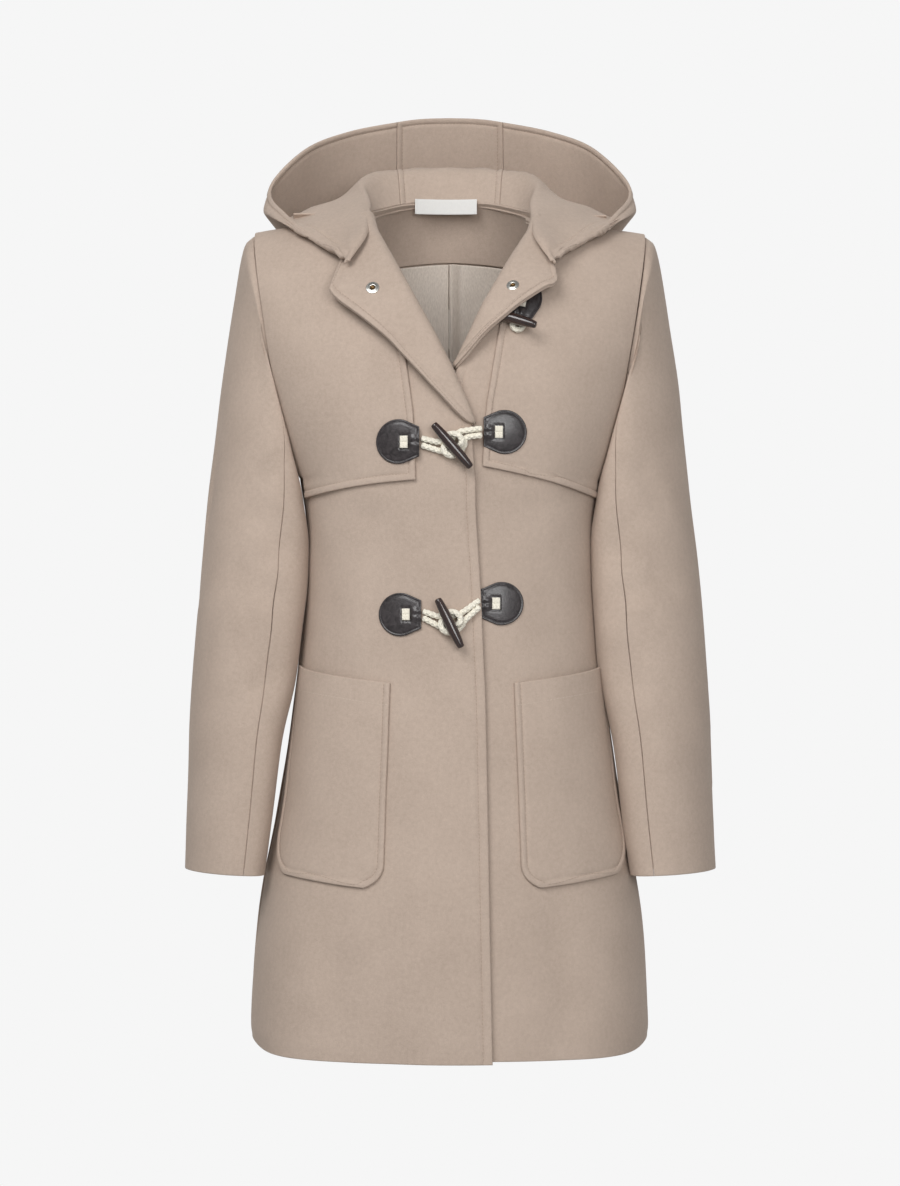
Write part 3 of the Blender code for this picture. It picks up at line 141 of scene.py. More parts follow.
def smooth(values, place):
    """A value or point at a fractional place along a list, on a smooth curve through it."""
    last = len(values) - 1
    place = min(max(place, 0.0), float(last))
    i = min(int(place), last - 1)
    t = place - i
    before, here = values[max(i - 1, 0)], values[i]
    after, beyond = values[i + 1], values[min(i + 2, last)]
    start, stop = (after - before) * 0.5, (beyond - here) * 0.5
    if i == 0:
        start = after - here
    if i == last - 1:
        stop = after - here
    return curve(here, after, start, stop, t)


def column(rows, name):
    return [getattr(row, name) for row in rows]


COLUMNS = {name: column(BODY, name) for name in Level._fields if name != "name"}


def armhole(turn, back):
    """A point on the armhole seam of the wearer's left side; turn 0 is the shoulder, 180 below."""
    angle = math.radians(turn)
    centre = (ARM_TOP + ARM_LOW) * 0.5
    reach = (ARM_TOP - ARM_LOW) * 0.5
    swing = ARM_BACK if back else -ARM_FRONT
    return (centre + reach * math.cos(angle)
            + Vector((ARM_BELLY * math.sin(angle), swing * math.sin(angle), 0)))


def side_height(level):
    """Height of the armhole or side seam at a level."""
    if level >= UNDERARM:
        return smooth(COLUMNS["side_z"][UNDERARM:], level - UNDERARM)
    return armhole(smooth(COLUMNS["arm"], level), False).z


def depth_nodes(name):
    """Height, depth and slope at the levels round the underarm, where levels crowd together."""
    nodes = []
    for before, here, after in ((4, 5, 6), (5, 7, 8), (7, 8, 9), (8, 9, 10)):
        slope = ((COLUMNS[name][after] - COLUMNS[name][before])
                 / (side_height(after) - side_height(before)))
        nodes.append((side_height(here), COLUMNS[name][here], slope))
    return nodes


DEPTH_NODES = {name: depth_nodes(name) for name in ("front", "back")}


def depth_at(level, back):
    """Depth of a whole section, even in height past the underarm."""
    name = "back" if back else "front"
    if not 5 < level < 9:
        return smooth(COLUMNS[name], level)
    z = side_height(level)
    for (z0, d0, m0), (z1, d1, m1) in zip(DEPTH_NODES[name], DEPTH_NODES[name][1:]):
        if z >= z1:
            break
    run = z1 - z0
    return curve(d0, d1, m0 * run, m1 * run, clamp((z - z0) / run))


def half_width(level, back):
    """Half width of a whole section, so that it passes through the armhole seam."""
    if level >= UNDERARM:
        return smooth(COLUMNS["half"][UNDERARM:], level - UNDERARM)
    seam = armhole(smooth(COLUMNS["arm"], level), back)
    depth = depth_at(level, back)
    share = min(abs(seam.y) / depth, 0.97) if depth > 1e-6 else 0.6
    return seam.x / (1 - share ** ROUNDNESS) ** (1 / ROUNDNESS)


def turn_limit(level, back):
    """How far round from the centre a panel reaches: the armhole seam, or the side seam."""
    if level >= UNDERARM:
        return 90.0
    share = armhole(smooth(COLUMNS["arm"], level), back).x / half_width(level, back)
    turn = math.degrees(math.asin(min(share, 1.0) ** (ROUNDNESS / 2)))
    return 180 - turn if back else turn


def neck_hollow(across):
    """Shape of the back neckline: 0 at the shoulder seam, 1 at the centre back."""
    return math.sqrt(max(0.0, 1 - (across / NECK_HALF) ** 2.0))


def bare_point(side, level, turn):
    """The body's surface: level down the table, turn 0 front centre, 90 side, 180 back centre."""
    back = turn > 90
    angle = math.radians(turn)
    across = half_width(level, back) * abs(math.sin(angle)) ** (2 / ROUNDNESS)
    lean = abs(math.cos(angle)) ** (2 / ROUNDNESS)
    if level < UNDERARM:
        seam = armhole(smooth(COLUMNS["arm"], level), back)
        z = seam.z + smooth(COLUMNS["rise"], level) * (seam.x - math.hypot(across, SOFTEN))
    else:
        z = smooth(COLUMNS["side_z"][UNDERARM:], level - UNDERARM)
        z += HEM_LIFT * ease(level - HEM + 1) * math.exp(-((turn - 90) / HEM_LIFT_TURN) ** 2)
    if back:
        hollow = smooth(COLUMNS["neck"], level) * neck_hollow(across)
        y = depth_at(level, True) * lean + NECK_DEEP * hollow
        z += NECK_LIFT * hollow
    else:
        y = -depth_at(level, False) * lean
    return Vector((side * across, y, z))


def normal(side, level, turn):
    """Direction straight out of the surface."""
    step, swing = 0.02, 0.4
    up, down = max(level - step, 0.0), min(level + step, float(HEM))
    near, far = max(turn - swing, 0.0), min(turn + swing, 180.0)
    if turn <= 90:
        far = min(far, 90.0)
    else:
        near = max(near, 90.001)
    along = bare_point(side, down, turn) - bare_point(side, up, turn)
    round_ = bare_point(side, level, far) - bare_point(side, level, near)
    return (along.cross(round_) * side).normalized()


def drape(level, turn):
    """How far the skirt's flutes push the surface out."""
    push = 0.0
    for fold in DRAPES:
        near = (turn - fold.turn) / fold.width
        push += (fold.depth * ease((level - fold.start) / (HEM - fold.start))
                 * math.exp(-near * near))
    return push


def edge_x(level):
    """Half width of the right front's edge, which laps over the left front."""
    z = smooth(COLUMNS["side_z"][UNDERARM:], level - UNDERARM) if level > UNDERARM else BREAK_Z
    for upper, lower in zip(OVER_EDGE, OVER_EDGE[1:]):
        if z >= lower.z:
            return mix(upper.x, lower.x, clamp((z - upper.z) / (lower.z - upper.z)))
    return OVER_EDGE[-1].x


def lap_rise(side, level, x, turn):
    """The right front lies over the left one near the centre."""
    if side > 0 or turn > 90:
        return 0.0
    return LAP_RISE * (1 - ease((edge_x(level) - UNDER_LAP - x) / LAP_SLOPE))


def body(side, level, turn, out=0.0):
    """A point of the coat's outer surface, moved out along the surface's normal."""
    point = bare_point(side, level, turn)
    out = out + drape(level, turn) + lap_rise(side, level, point.x, turn)
    return point + normal(side, level, turn) * out


def outer_turn(level, back=False):
    """Turn of a panel's outer edge, a seam's space short of the armhole or side seam."""
    limit = turn_limit(level, back)
    short = math.degrees(SEAM / 8 / BODY_RADIUS)
    return limit + short if back else limit - short


Spot = namedtuple("Spot", "x z reach")
QUIET = [Spot(0.0, -0.222, 0.085), Spot(0.0, -0.388, 0.085), Spot(0.066, -0.095, 0.07),
         Spot(-0.09, -0.085, 0.07)]      # the front lies still under its fastenings
SWELL_LONG, SWELL_SHORT = 0.0026, 0.0010


def swell(point):
    """Slow unevenness of worn cloth, the same for all that lies at one place of the body."""
    x, y, z = point
    side = 3.0 if y > 0 else 0.0
    long = noise.noise(Vector((x * 9 + side, z * 5.5, side)))
    short = noise.noise(Vector((x * 26 + 7 + side, z * 15, side)))
    calm = 1.0
    for spot in QUIET if y < 0 else ():
        near = ((x - spot.x) ** 2 + (z - spot.z) ** 2) / spot.reach ** 2
        calm = min(calm, 1 - math.exp(-near * near))
    return (SWELL_LONG * long + SWELL_SHORT * short) * calm


Fold = namedtuple("Fold", "points width depth")
FOLD_REACH = 2.6             # a crease moves nothing further off than this many of its widths
FOLD_BLUNT, FOLD_FADE = 0.04, 0.8        # how blunt its two ends are, and how they fade
FOLD_WOBBLE, FOLD_PATCHES = 0.35, 30     # how unevenly deep it is, in patches of about 30 mm


def folded(point, folds):
    """How far listed creases move a point: troughs are negative, ridges positive."""
    push = 0.0
    for fold in folds:
        nearest, place, total = math.inf, 0.0, len(fold.points) - 1
        for i in range(total):
            a, b = Vector(fold.points[i]), Vector(fold.points[i + 1])
            run = b - a
            share = clamp((point - a).dot(run) / run.length_squared)
            miss = (point - a - run * share).length
            if miss < nearest:
                nearest, place = miss, (i + share) / total
        if nearest < fold.width * FOLD_REACH:
            along = FOLD_BLUNT + (1 - 2 * FOLD_BLUNT) * place
            ends = math.sin(math.pi * along) ** FOLD_FADE
            wobble = 1 + FOLD_WOBBLE * noise.noise(point * FOLD_PATCHES)
            push += fold.depth * ends * wobble * math.exp(-(nearest / fold.width) ** 2)
    return push


TURN_STEPS, INSIDE_STEP = [0.0, 0.0003, 0.0008, 0.0015, 0.0026], 0.0045   # over a rounded edge
STITCH_STEPS = [-0.0018, -0.0008, 0.0, 0.0008, 0.0018, 0.0045]
STITCHED = len(TURN_STEPS) + STITCH_STEPS.index(0.0)     # the row that is sewn through


def steps(stitch=None):
    """Distances in from an edge at which a sheet has rows, with a row of stitches or without."""
    if stitch is None:
        return TURN_STEPS + [INSIDE_STEP]
    return TURN_STEPS + [stitch + past for past in STITCH_STEPS]


def as_array(rows):
    return np.array([[tuple(point) for point in row] for row in rows])


def at_places(points, places):
    """Each line of points (n, m, 3) at its own fractional places (n, k), on a smooth curve."""
    last = points.shape[1] - 1
    i = np.clip(places.astype(int), 0, last - 1)
    t = (places - i)[..., None]
    rows = np.arange(points.shape[0])[:, None]
    here, after = points[rows, i], points[rows, i + 1]
    start = (after - points[rows, np.maximum(i - 1, 0)]) * 0.5
    stop = (points[rows, np.minimum(i + 2, last)] - here) * 0.5
    start = np.where((i == 0)[..., None], after - here, start)
    stop = np.where((i == last - 1)[..., None], after - here, stop)
    return curve(here, after, start, stop, t)


def respaced(points, near, far, pitch, stretch=(1.0, 1.0)):
    """Lines of points (n, m, 3) again with fine steps at both ends and even ones between.

    stretch widens the fine steps at each end, line by line, where they meet a rounded edge aslant.
    """
    lengths = np.linalg.norm(np.diff(points, axis=1), axis=2)
    run = np.concatenate([np.zeros((len(points), 1)), np.cumsum(lengths, axis=1)], axis=1)
    total = run[:, -1]
    near, far = np.array(near), np.array(far)[::-1]
    fit = np.minimum(np.atleast_2d(stretch), (0.45 * total / (near[-1] + far[0]))[:, None])
    first, final = near[None] * fit[:, :1], total[:, None] - far[None] * fit[:, 1:]
    count = max(2, int(round((total.max() - near[-1] - far[0]) / pitch)))
    between = np.linspace(0, 1, count + 1)[None, 1:-1]
    middle = first[:, -1:] + (final[:, :1] - first[:, -1:]) * between
    wanted = np.concatenate([first, middle, final], axis=1)
    places = np.stack([np.interp(w, r, np.arange(len(r))) for w, r in zip(wanted, run)])
    return at_places(points, places)


def fine_grid(rows, left=steps(), right=steps(), top=steps(), bottom=steps(), pitch=0.0055,
              stretch=(1.0, 1.0)):
    """A rectangle of points, respaced both ways; each edge has its own steps."""
    points = respaced(as_array(rows), left, right, pitch, stretch)
    return respaced(points.transpose(1, 0, 2), top, bottom, pitch).transpose(1, 0, 2)


def cloth_normals(points, there, flip, even=0):
    """Normals of a grid that may lack some of its corners; even blends them with their like."""
    def slope(axis):
        ahead, behind = np.roll(points, -1, axis), np.roll(points, 1, axis)
        has_ahead, has_behind = np.roll(there, -1, axis), np.roll(there, 1, axis)
        edge = [slice(None), slice(None)]
        edge[axis] = -1
        has_ahead[tuple(edge)] = False
        edge[axis] = 0
        has_behind[tuple(edge)] = False
        ahead = np.where(has_ahead[..., None], ahead, points)
        behind = np.where(has_behind[..., None], behind, points)
        return ahead - behind

    out = np.cross(slope(0), slope(1))
    for _ in range(even):
        round_ = np.pad(out, ((1, 1), (1, 1), (0, 0)))
        out = (out + round_[:-2, 1:-1] + round_[2:, 1:-1] + round_[1:-1, :-2]
               + round_[1:-1, 2:]) / 5
    length = np.linalg.norm(out, axis=2, keepdims=True)
    bad = length[..., 0] < 1e-12
    out = out / np.maximum(length, 1e-12) * (-1.0 if flip else 1.0)
    for r, c in np.argwhere(bad & there):
        for rr, cc in ((r - 1, c), (r, c + 1), (r + 1, c), (r, c - 1), (r - 1, c + 1)):
            if 0 <= rr < len(points) and 0 <= cc < points.shape[1] and not bad[rr, cc]:
                out[r, c] = out[rr, cc]
                break
    return out


def edge_distances(points, there):
    """Distance of each point from the sheet's four edges, measured along its rows and columns."""
    far = {}
    for edge, axis, way in (("left", 1, 1), ("right", 1, -1), ("top", 0, 1), ("bottom", 0, -1)):
        grid, here = np.moveaxis(points, axis, 0)[::way], np.moveaxis(there, axis, 0)[::way]
        pitch = np.linalg.norm(np.diff(grid, axis=0), axis=2)
        away = np.zeros(here.shape)
        for k in range(1, len(away)):
            away[k] = np.where(here[k] & here[k - 1], away[k - 1] + pitch[k - 1], 0)
        far[edge] = np.moveaxis(away[::way], 0, axis)
    return far


def true_distances(points, edge):
    """Distance of every point of a grid from one of its edges, straight across the cloth."""
    line = {"left": points[:, 0], "right": points[:, -1],
            "top": points[0], "bottom": points[-1]}[edge]
    start, run = line[:-1], np.diff(line, axis=0)
    length = np.maximum((run * run).sum(axis=1), 1e-14)
    away = points[:, :, None] - start[None, None]
    share = np.clip((away * run).sum(axis=3) / length, 0, 1)
    return np.linalg.norm(away - run * share[..., None], axis=3).min(axis=2)


def placed(name, corners, faces):
    """A smooth piece with these corners and faces, placed in the scene."""
    mesh = bpy.data.meshes.new(name)
    mesh.from_pydata(corners, [], faces)
    mesh.shade_smooth()
    obj = bpy.data.objects.new(name, mesh)
    bpy.context.scene.collection.objects.link(obj)
    return obj


Cloth = namedtuple("Cloth", "obj face back normals flat area")
NO_EDGE = 9.0                # distance to an edge that a sheet does not have
PAD, GROOVE, GROOVE_HALF, EDGE_ROUND = 0.0006, 0.0010, 0.0011, 0.0009


def cloth_piece(name, points, thick, flip=False, stitch=(), there=None, rise=None, open_low=0,
                pad=PAD, groove=GROOVE, even=0):
    """A closed sheet of one thickness inwards from a grid of points.

    stitch gives (edge, distance) for each edge that is turned and sewn through: the cloth is
    fuller up to the stitches and drawn in along them. rise moves the whole sheet out. The
    first open_low columns have no lower edge of their own.
    """
    if there is None:
        there = np.ones(points.shape[:2], bool)
    normals = cloth_normals(points, there, flip, even)
    far = edge_distances(points, there)
    far["bottom"][:, :open_low] = NO_EDGE
    half = thick / 2
    nearest = np.minimum.reduce([far[side] for side in far])
    tucked = half * np.clip(1 - nearest / EDGE_ROUND, 0, 1)
    drop = half - np.sqrt(half * half - tucked * tucked)
    full = np.zeros(there.shape)
    if stitch:
        share = np.minimum.reduce([
            (true_distances(points, side) if there.all() else far[side]) / away
            for side, away in stitch])
        size = min(away for _, away in stitch)
        full = pad * np.sin(np.pi * np.clip(share, 0, 1)) ** 0.8
        near = (share - 1) * size / GROOVE_HALF
        pull = np.array([[0.85 + 0.3 * noise.noise(Vector(p) * 130) for p in row]
                         for row in points])
        full = full - groove * pull * np.exp(-near * near)
        short = np.minimum(far["top"][-1][None], far["left"][:, -1:])
        full = full * (np.clip(short / (3 * size), 0, 1) if there.all() else 1.0)
    rise = np.zeros(there.shape) if rise is None else rise
    rows, cols = there.shape
    padded = np.pad(there, 1)
    inside = np.ones(there.shape, bool)
    for dr in (0, 1, 2):
        for dc in (0, 1, 2):
            inside &= padded[dr:dr + rows, dc:dc + cols]
    if open_low:
        inside[-1, :open_low] = False
    drop = np.where(inside, drop, half)
    full = np.where(inside, full, 0.0)
    face = points + normals * (rise - drop + full)[..., None]
    back = points + normals * (rise - thick + drop - full)[..., None]
    front_of = np.full(there.shape, -1)
    front_of[there] = np.arange(there.sum())
    back_of = front_of.copy()
    inner = there & inside
    back_of[inner] = there.sum() + np.arange(inner.sum())
    corners = np.concatenate([face[there], back[inner]])
    faces = []
    cell = there[:-1, :-1] & there[1:, :-1] & there[1:, 1:] & there[:-1, 1:]
    for of, turned in ((front_of, flip), (back_of, not flip)):
        loops = np.stack([of[:-1, :-1], of[1:, :-1], of[1:, 1:], of[:-1, 1:]], axis=2)[cell]
        faces.append(loops[:, ::-1] if turned else loops)
    obj = placed(name, corners.tolist(), np.concatenate(faces).tolist())
    tidy = bmesh.new()
    tidy.from_mesh(obj.data)
    bmesh.ops.remove_doubles(tidy, verts=tidy.verts, dist=0.00001)
    bmesh.ops.dissolve_degenerate(tidy, dist=0.00001, edges=tidy.edges)
    tidy.to_mesh(obj.data)
    tidy.free()
    whole = points[:-1, :-1], points[1:, :-1], points[1:, 1:], points[:-1, 1:]
    diagonals = np.cross(whole[2] - whole[0], whole[3] - whole[1])
    area = float((np.linalg.norm(diagonals, axis=2) / 2)[cell].sum())
    wide = max(float(far["left"].max()), float(far["right"].max()))
    deep = float(far["top"].max())
    return Cloth(obj, face, back, normals, (wide, deep), area)


def sewn(obj, finish, node=None):
    """Gives a piece its material, hangs it from the root body and hides the solid that it stands
    for.
    """
    obj.data.materials.append(finish)
    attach(obj, "root")
    if node:
        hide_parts(node)
    return obj


def linear(red, green, blue):
    """A colour given as it looks on a screen, 0 to 255."""
    return tuple(((c / 255 + 0.055) / 1.055) ** 2.4 if c > 10 else c / 255 / 12.92
                 for c in (red, green, blue)) + (1.0,)


def with_values(made, sockets):
    """Sets plain values on a shader's sockets."""
    for socket, value in sockets.items():
        made.inputs[socket.replace("_", " ")].default_value = value
    return made


def new_material(name, **sockets):
    """A material, its tree and its Principled shader."""
    made = bpy.data.materials.new(name)
    made.use_nodes = True
    tree = made.node_tree
    return made, tree, with_values(tree.nodes["Principled BSDF"], sockets)


def node(tree, kind, **sockets):
    return with_values(tree.nodes.new("ShaderNode" + kind), sockets)


def embossed(tree, shader, height, strength, distance):
    """Raises a surface by a height."""
    bump = node(tree, "Bump", Strength=strength, Distance=distance)
    tree.links.new(height, bump.inputs["Height"])
    tree.links.new(bump.outputs["Normal"], shader.inputs["Normal"])


def nap_group():
    """Felted nap: fine fibres over soft clouds, as a colour and a height."""
    group = bpy.data.node_groups.new("felted nap", "ShaderNodeTree")
    for name, kind, way in (("Colour", "NodeSocketColor", "INPUT"),
                            ("Shade", "NodeSocketColor", "INPUT"),
                            ("Fibre Scale", "NodeSocketFloat", "INPUT"),
                            ("Colour", "NodeSocketColor", "OUTPUT"),
                            ("Height", "NodeSocketFloat", "OUTPUT")):
        group.interface.new_socket(name=name, in_out=way, socket_type=kind)
    links = group.links
    come, go = group.nodes.new("NodeGroupInput"), group.nodes.new("NodeGroupOutput")
    place = node(group, "TexCoord")

    def cloud(scale, detail, rough):
        made = node(group, "TexNoise", Detail=detail, Roughness=rough)
        if scale is None:
            links.new(come.outputs["Fibre Scale"], made.inputs["Scale"])
        else:
            made.inputs["Scale"].default_value = scale
        links.new(place.outputs["Object"], made.inputs["Vector"])
        return made.outputs["Fac"]

    def stretch(value, low, high, start, stop):
        made = node(group, "MapRange", From_Min=low, From_Max=high, To_Min=start, To_Max=stop)
        links.new(value, made.inputs["Value"])
        return made.outputs["Result"]

    def sum_of(a, b):
        made = node(group, "Math")
        links.new(a, made.inputs[0])
        links.new(b, made.inputs[1])
        return made.outputs["Value"]

    fibres, clumps, clouds = cloud(None, 4, 0.75), cloud(260, 3, 0.6), cloud(18, 2, 0.5)
    tone = sum_of(sum_of(stretch(fibres, 0.30, 0.70, -0.20, 0.20),
                         stretch(clumps, 0.30, 0.70, -0.10, 0.10)),
                  stretch(clouds, 0.30, 0.70, 0.42, 0.58))
    blend = node(group, "Mix")
    blend.data_type = "RGBA"
    links.new(tone, blend.inputs["Factor"])
    links.new(come.outputs["Shade"], blend.inputs["A"])
    links.new(come.outputs["Colour"], blend.inputs["B"])
    links.new(blend.outputs["Result"], go.inputs["Colour"])
    links.new(sum_of(fibres, stretch(clumps, 0, 1, 0, 0.8)), go.inputs["Height"])
    return group


NAP = nap_group()


def napped(name, light, shade, fibre_scale, bump, **sockets):
    """The finish of a cloth, thread or cord with that nap."""
    made, tree, shader = new_material(name, **sockets)
    nap = tree.nodes.new("ShaderNodeGroup")
    nap.node_tree = NAP
    nap.inputs["Colour"].default_value = light
    nap.inputs["Shade"].default_value = shade
    nap.inputs["Fibre Scale"].default_value = fibre_scale
    tree.links.new(nap.outputs["Colour"], shader.inputs["Base Color"])
    embossed(tree, shader, nap.outputs["Height"], 0.6, bump)
    return made


def wool_finish(name):
    return napped(name, linear(206, 187, 172), linear(163, 145, 131), 1500, 0.0005,
                  Roughness=0.92, Sheen_Weight=0.25, Sheen_Roughness=0.45,
                  Sheen_Tint=linear(235, 222, 210))


WOOL_FINISH = wool_finish("felted wool")
BACK_FOLDS = [
    Fold([(-0.160, 0.07, -0.235), (-0.085, 0.11, -0.275), (0.0, 0.11, -0.290)], 0.014, -0.0022),
    Fold([(0.158, 0.07, -0.240), (0.080, 0.11, -0.290), (0.010, 0.11, -0.310)], 0.015, -0.0020),
    Fold([(-0.110, 0.10, -0.300), (0.020, 0.11, -0.330), (0.115, 0.09, -0.318)], 0.016, 0.0022),
]


def back_point(level, share):
    """A point of the back; share runs from -1 through 0 at its centre to 1, seam to seam."""
    turn = mix(180, outer_turn(level, True), abs(share))
    return body(1.0 if share < 0 else -1.0, level, turn)


def risen(points, folds=(), amount=1.0):
    """Swell and creases at each point of a grid."""
    return np.array([[amount * swell(p) + folded(Vector(p), folds) for p in row]
                     for row in points])


rough = [[back_point(level, i / 14) for i in range(-14, 15)]
         for level in [0.03] + [0.25 * i for i in range(1, 4 * HEM + 1)]]
points = fine_grid(rough)
made = cloth_piece("back_cloth", points, WOOL, rise=risen(points, BACK_FOLDS))
sewn(made.obj, WOOL_FINISH, "back")

# ---------------------------------------------------------------- fronts
# Each front is one piece of the wool from shoulder to hem, with its lapel turned back over the
# roll line. The right front laps over the left one. The turned front edge is stitched through.
Roll = namedtuple("Roll", "top foot radius")
ROLLS = {
    "right": Roll((-0.0755, -0.0290), (0.0205, -0.2118), 0.0042),
    "left": Roll((0.0785, -0.0300), (0.0060, -0.1590), 0.0045),
}
NECK_ROWS = (0.02, 0.50)     # levels of the front rows above the roll line
ROLL_TOP, ROLL_BEND, ROLL_RISE = -0.09, 0.050, 0.19      # the roll line above its bend
LapelRow = namedtuple("LapelRow", "name along x z stand")
LAPELS = {
    "right": [
        LapelRow("corner", ROLL_TOP, -0.1110, -0.0895, 0.0170),
        LapelRow("below corner", 0.12, -0.1022, -0.0985, 0.0170),
        LapelRow("upper edge", 0.32, -0.0794, -0.1156, 0.0170),
        LapelRow("middle", 0.47, -0.0575, -0.1342, 0.0160),
        LapelRow("lower edge", 0.61, -0.0405, -0.1525, 0.0130),
        LapelRow("above break", 0.78, -0.0122, -0.1829, 0.0100),
        LapelRow("last turn", 0.92, 0.0094, -0.2055, 0.0060),
        LapelRow("break", 1.00, 0.0205, -0.2118, 0.0),
    ],
    "left": [
        LapelRow("corner", ROLL_TOP, 0.0975, -0.0800, 0.0160),
        LapelRow("below corner", 0.10, 0.0942, -0.0862, 0.0190),
        LapelRow("upper edge", 0.28, 0.0856, -0.0904, 0.0215),
        LapelRow("middle", 0.44, 0.0663, -0.1032, 0.0220),
        LapelRow("lower edge", 0.60, 0.0511, -0.1146, 0.0185),
        LapelRow("above break", 0.76, 0.0340, -0.1284, 0.0120),
        LapelRow("last turn", 0.90, 0.0170, -0.1480, 0.0070),
        LapelRow("break", 1.00, 0.0060, -0.1590, 0.0),
    ],
}
LOWER_LEVELS = {
    "right": [7.0, 7.5, 8.0, 8.6, 9.3, 10.0, 10.7, 11.4, 12.1, 13.0],
    "left": [6.2, 7.0, 7.5, 8.0, 8.6, 9.3, 10.0, 10.7, 11.4, 12.1, 13.0],
}
LAPEL_ARM_LEVELS = {
    "right": [1.00, 1.70, 2.50, 3.40, 4.30, 5.20, 6.10, 6.60],
    "left": [1.00, 1.70, 2.40, 3.10, 3.80, 4.60, 5.20, 5.60],
}
LAPEL_TOP, LAPEL_FOOT = 2.0, 9.0         # rows between which the lapel turns out
UNDER_SHORT = 0.08                       # the under front's corner is a little shorter
CLEAR_OF_FOOT, MIDDLE_X = 0.3, 0.02      # the rows below a lapel start these levels under its foot
FOLD_COLS = 9                            # columns round the lapel's fold


def turn_at(level, x, back=False):
    """Turn at which the section at this level has this half width."""
    share = min(abs(x) / half_width(level, back), 1.0)
    turn = math.degrees(math.asin(share ** (ROUNDNESS / 2)))
    return 180 - turn if back else turn


def halved(low, high, is_before, times):
    """Where a test stops holding between two places, found by halving the way."""
    for _ in range(times):
        middle = (low + high) / 2
        if is_before(middle):
            low = middle
        else:
            high = middle
    return (low + high) / 2


def level_at(x, z):
    """Level whose section passes this place, seen from the front."""
    return halved(0.0, float(HEM),
                  lambda level: bare_point(1.0, level, turn_at(level, x)).z > z, 26)


def on_body(side, x, z, out=0.0):
    """A point of the surface at this place, seen square on from the front."""
    level, sign = level_at(x, z), math.copysign(1.0, x)
    turn = turn_at(level, x)
    lift = lap_rise(side, level, x, 0) + drape(level, turn)
    return bare_point(sign, level, turn) + normal(sign, level, turn) * (out + lift)


def roll_place(which, along):
    """Where the roll line is from the front, at a share of its length; less than 0 is the neck."""
    roll = ROLLS[which]
    share = max(along, 0.0)
    steep = max(-along, 0.0)
    return (mix(roll.top[0], roll.foot[0], share) + SIDES[which] * ROLL_BEND * steep,
            mix(roll.top[1], roll.foot[1], share) + ROLL_RISE * steep)


def roll_point(which, along, out=0.0):
    return on_body(SIDES[which], *roll_place(which, along), out)


def roll_out(which, along):
    """Direction out from the body at the roll line, square to it."""
    step = 0.01
    down = (roll_point(which, min(along + step, 1.0))
            - roll_point(which, along - step)).normalized()
    out = (roll_point(which, along, 0.01) - roll_point(which, along)).normalized()
    return (out - down * out.dot(down)).normalized()


def lapel_row(which, row, away):
    """Points of the turned lapel at one row, from its edge to the roll line.

    away gives the distances in from the edge for the flat part; the fold follows.
    """
    along, x, z, stand = (smooth(column(LAPELS[which], name), row)
                          for name in ("along", "x", "z", "stand"))
    out, roll = roll_out(which, along), roll_point(which, along)
    edge = on_body(SIDES[which], x, z, max(stand, 0.0))
    chord = edge - roll
    height = chord.dot(out)
    chord -= out * height
    width = chord.length
    if width < 1e-5:
        return [roll] * (len(away) + FOLD_COLS)
    inward = -chord / width
    radius = min(ROLLS[which].radius, 0.22 * width)
    full = math.pi - math.atan2(height - 2 * radius, width)

    def round_fold(share):
        spoke = inward * math.sin(full * share) - out * math.cos(full * share)
        return roll + out * radius + spoke * radius

    start = round_fold(1.0)
    flat = (edge - start).length
    fit = min(1.0, 0.92 * flat / away[-1])
    points = [mix(edge, start, d * fit / flat) for d in away]
    return points + [round_fold(1 - k / FOLD_COLS) for k in range(FOLD_COLS)]


def place_of(which, x, z):
    """Level and turn of a place on a front; the turn is negative past the centre line."""
    level = level_at(x, z)
    turn = turn_at(level, x)
    return level, turn if x * SIDES[which] >= 0 else -turn


def front_inner(which, level):
    x = edge_x(level)
    return x if which == "right" else x - UNDER_LAP


def neck_edge_x(level):
    """Half width of a front's neck edge, which comes in to the lapel's fold."""
    return mix(NECK_HALF + SEAM, abs(ROLLS["right"].top[0]) - 0.0020, clamp(level / 0.50))


def mix_list(values, place):
    place = min(max(place, 0.0), len(values) - 1.0)
    i = min(int(place), len(values) - 2)
    return mix(values[i], values[i + 1], place - i)


def front_row(which, row):
    """Inner and outer end of a row across a front, each as (level, turn)."""
    roll = ROLLS[which]
    outer = smooth(list(NECK_ROWS) + LAPEL_ARM_LEVELS[which] + LOWER_LEVELS[which], row)
    end = (outer, outer_turn(outer))
    if row <= 1:
        level = mix(*NECK_ROWS, row)
        return (level, turn_at(level, neck_edge_x(level))), end
    lap = place_of(which, *roll_place(which, lapel_along(which, row)))
    if row < LAPEL_TOP:
        level = NECK_ROWS[1]
        upper = (level, turn_at(level, neck_edge_x(level)))
        return tuple(mix(a, b, row - 1) for a, b in zip(upper, lap)), end
    if row <= LAPEL_FOOT:
        return lap, end
    floor = level_at(MIDDLE_X, roll.foot[1]) + CLEAR_OF_FOOT
    levels = [lap[0]] + [max(level, floor) for level in LOWER_LEVELS[which]]
    level = mix_list(levels, row - LAPEL_FOOT)
    if which == "left":
        level -= UNDER_SHORT * ease(level - HEM + 1)
    x = front_inner(which, level)
    if row < LAPEL_FOOT + 1:
        x = mix(roll.foot[0], x, row - LAPEL_FOOT)
    return (level, math.copysign(turn_at(level, x), x * SIDES[which])), end


def lapel_along(which, row):
    """Share of the roll line's length at which it meets this row of the front."""
    count = LAPEL_FOOT - LAPEL_TOP
    return smooth(column(LAPELS[which], "along"), clamp((row - LAPEL_TOP) / count) * count)


def front_point(side, level, turn, out=0.0):
    """As body(), but a negative turn crosses the centre line."""
    if turn >= 0:
        return body(side, level, turn, out)
    point = bare_point(-side, level, -turn)
    return point + normal(-side, level, -turn) * (out + lap_rise(side, level, point.x, 0))


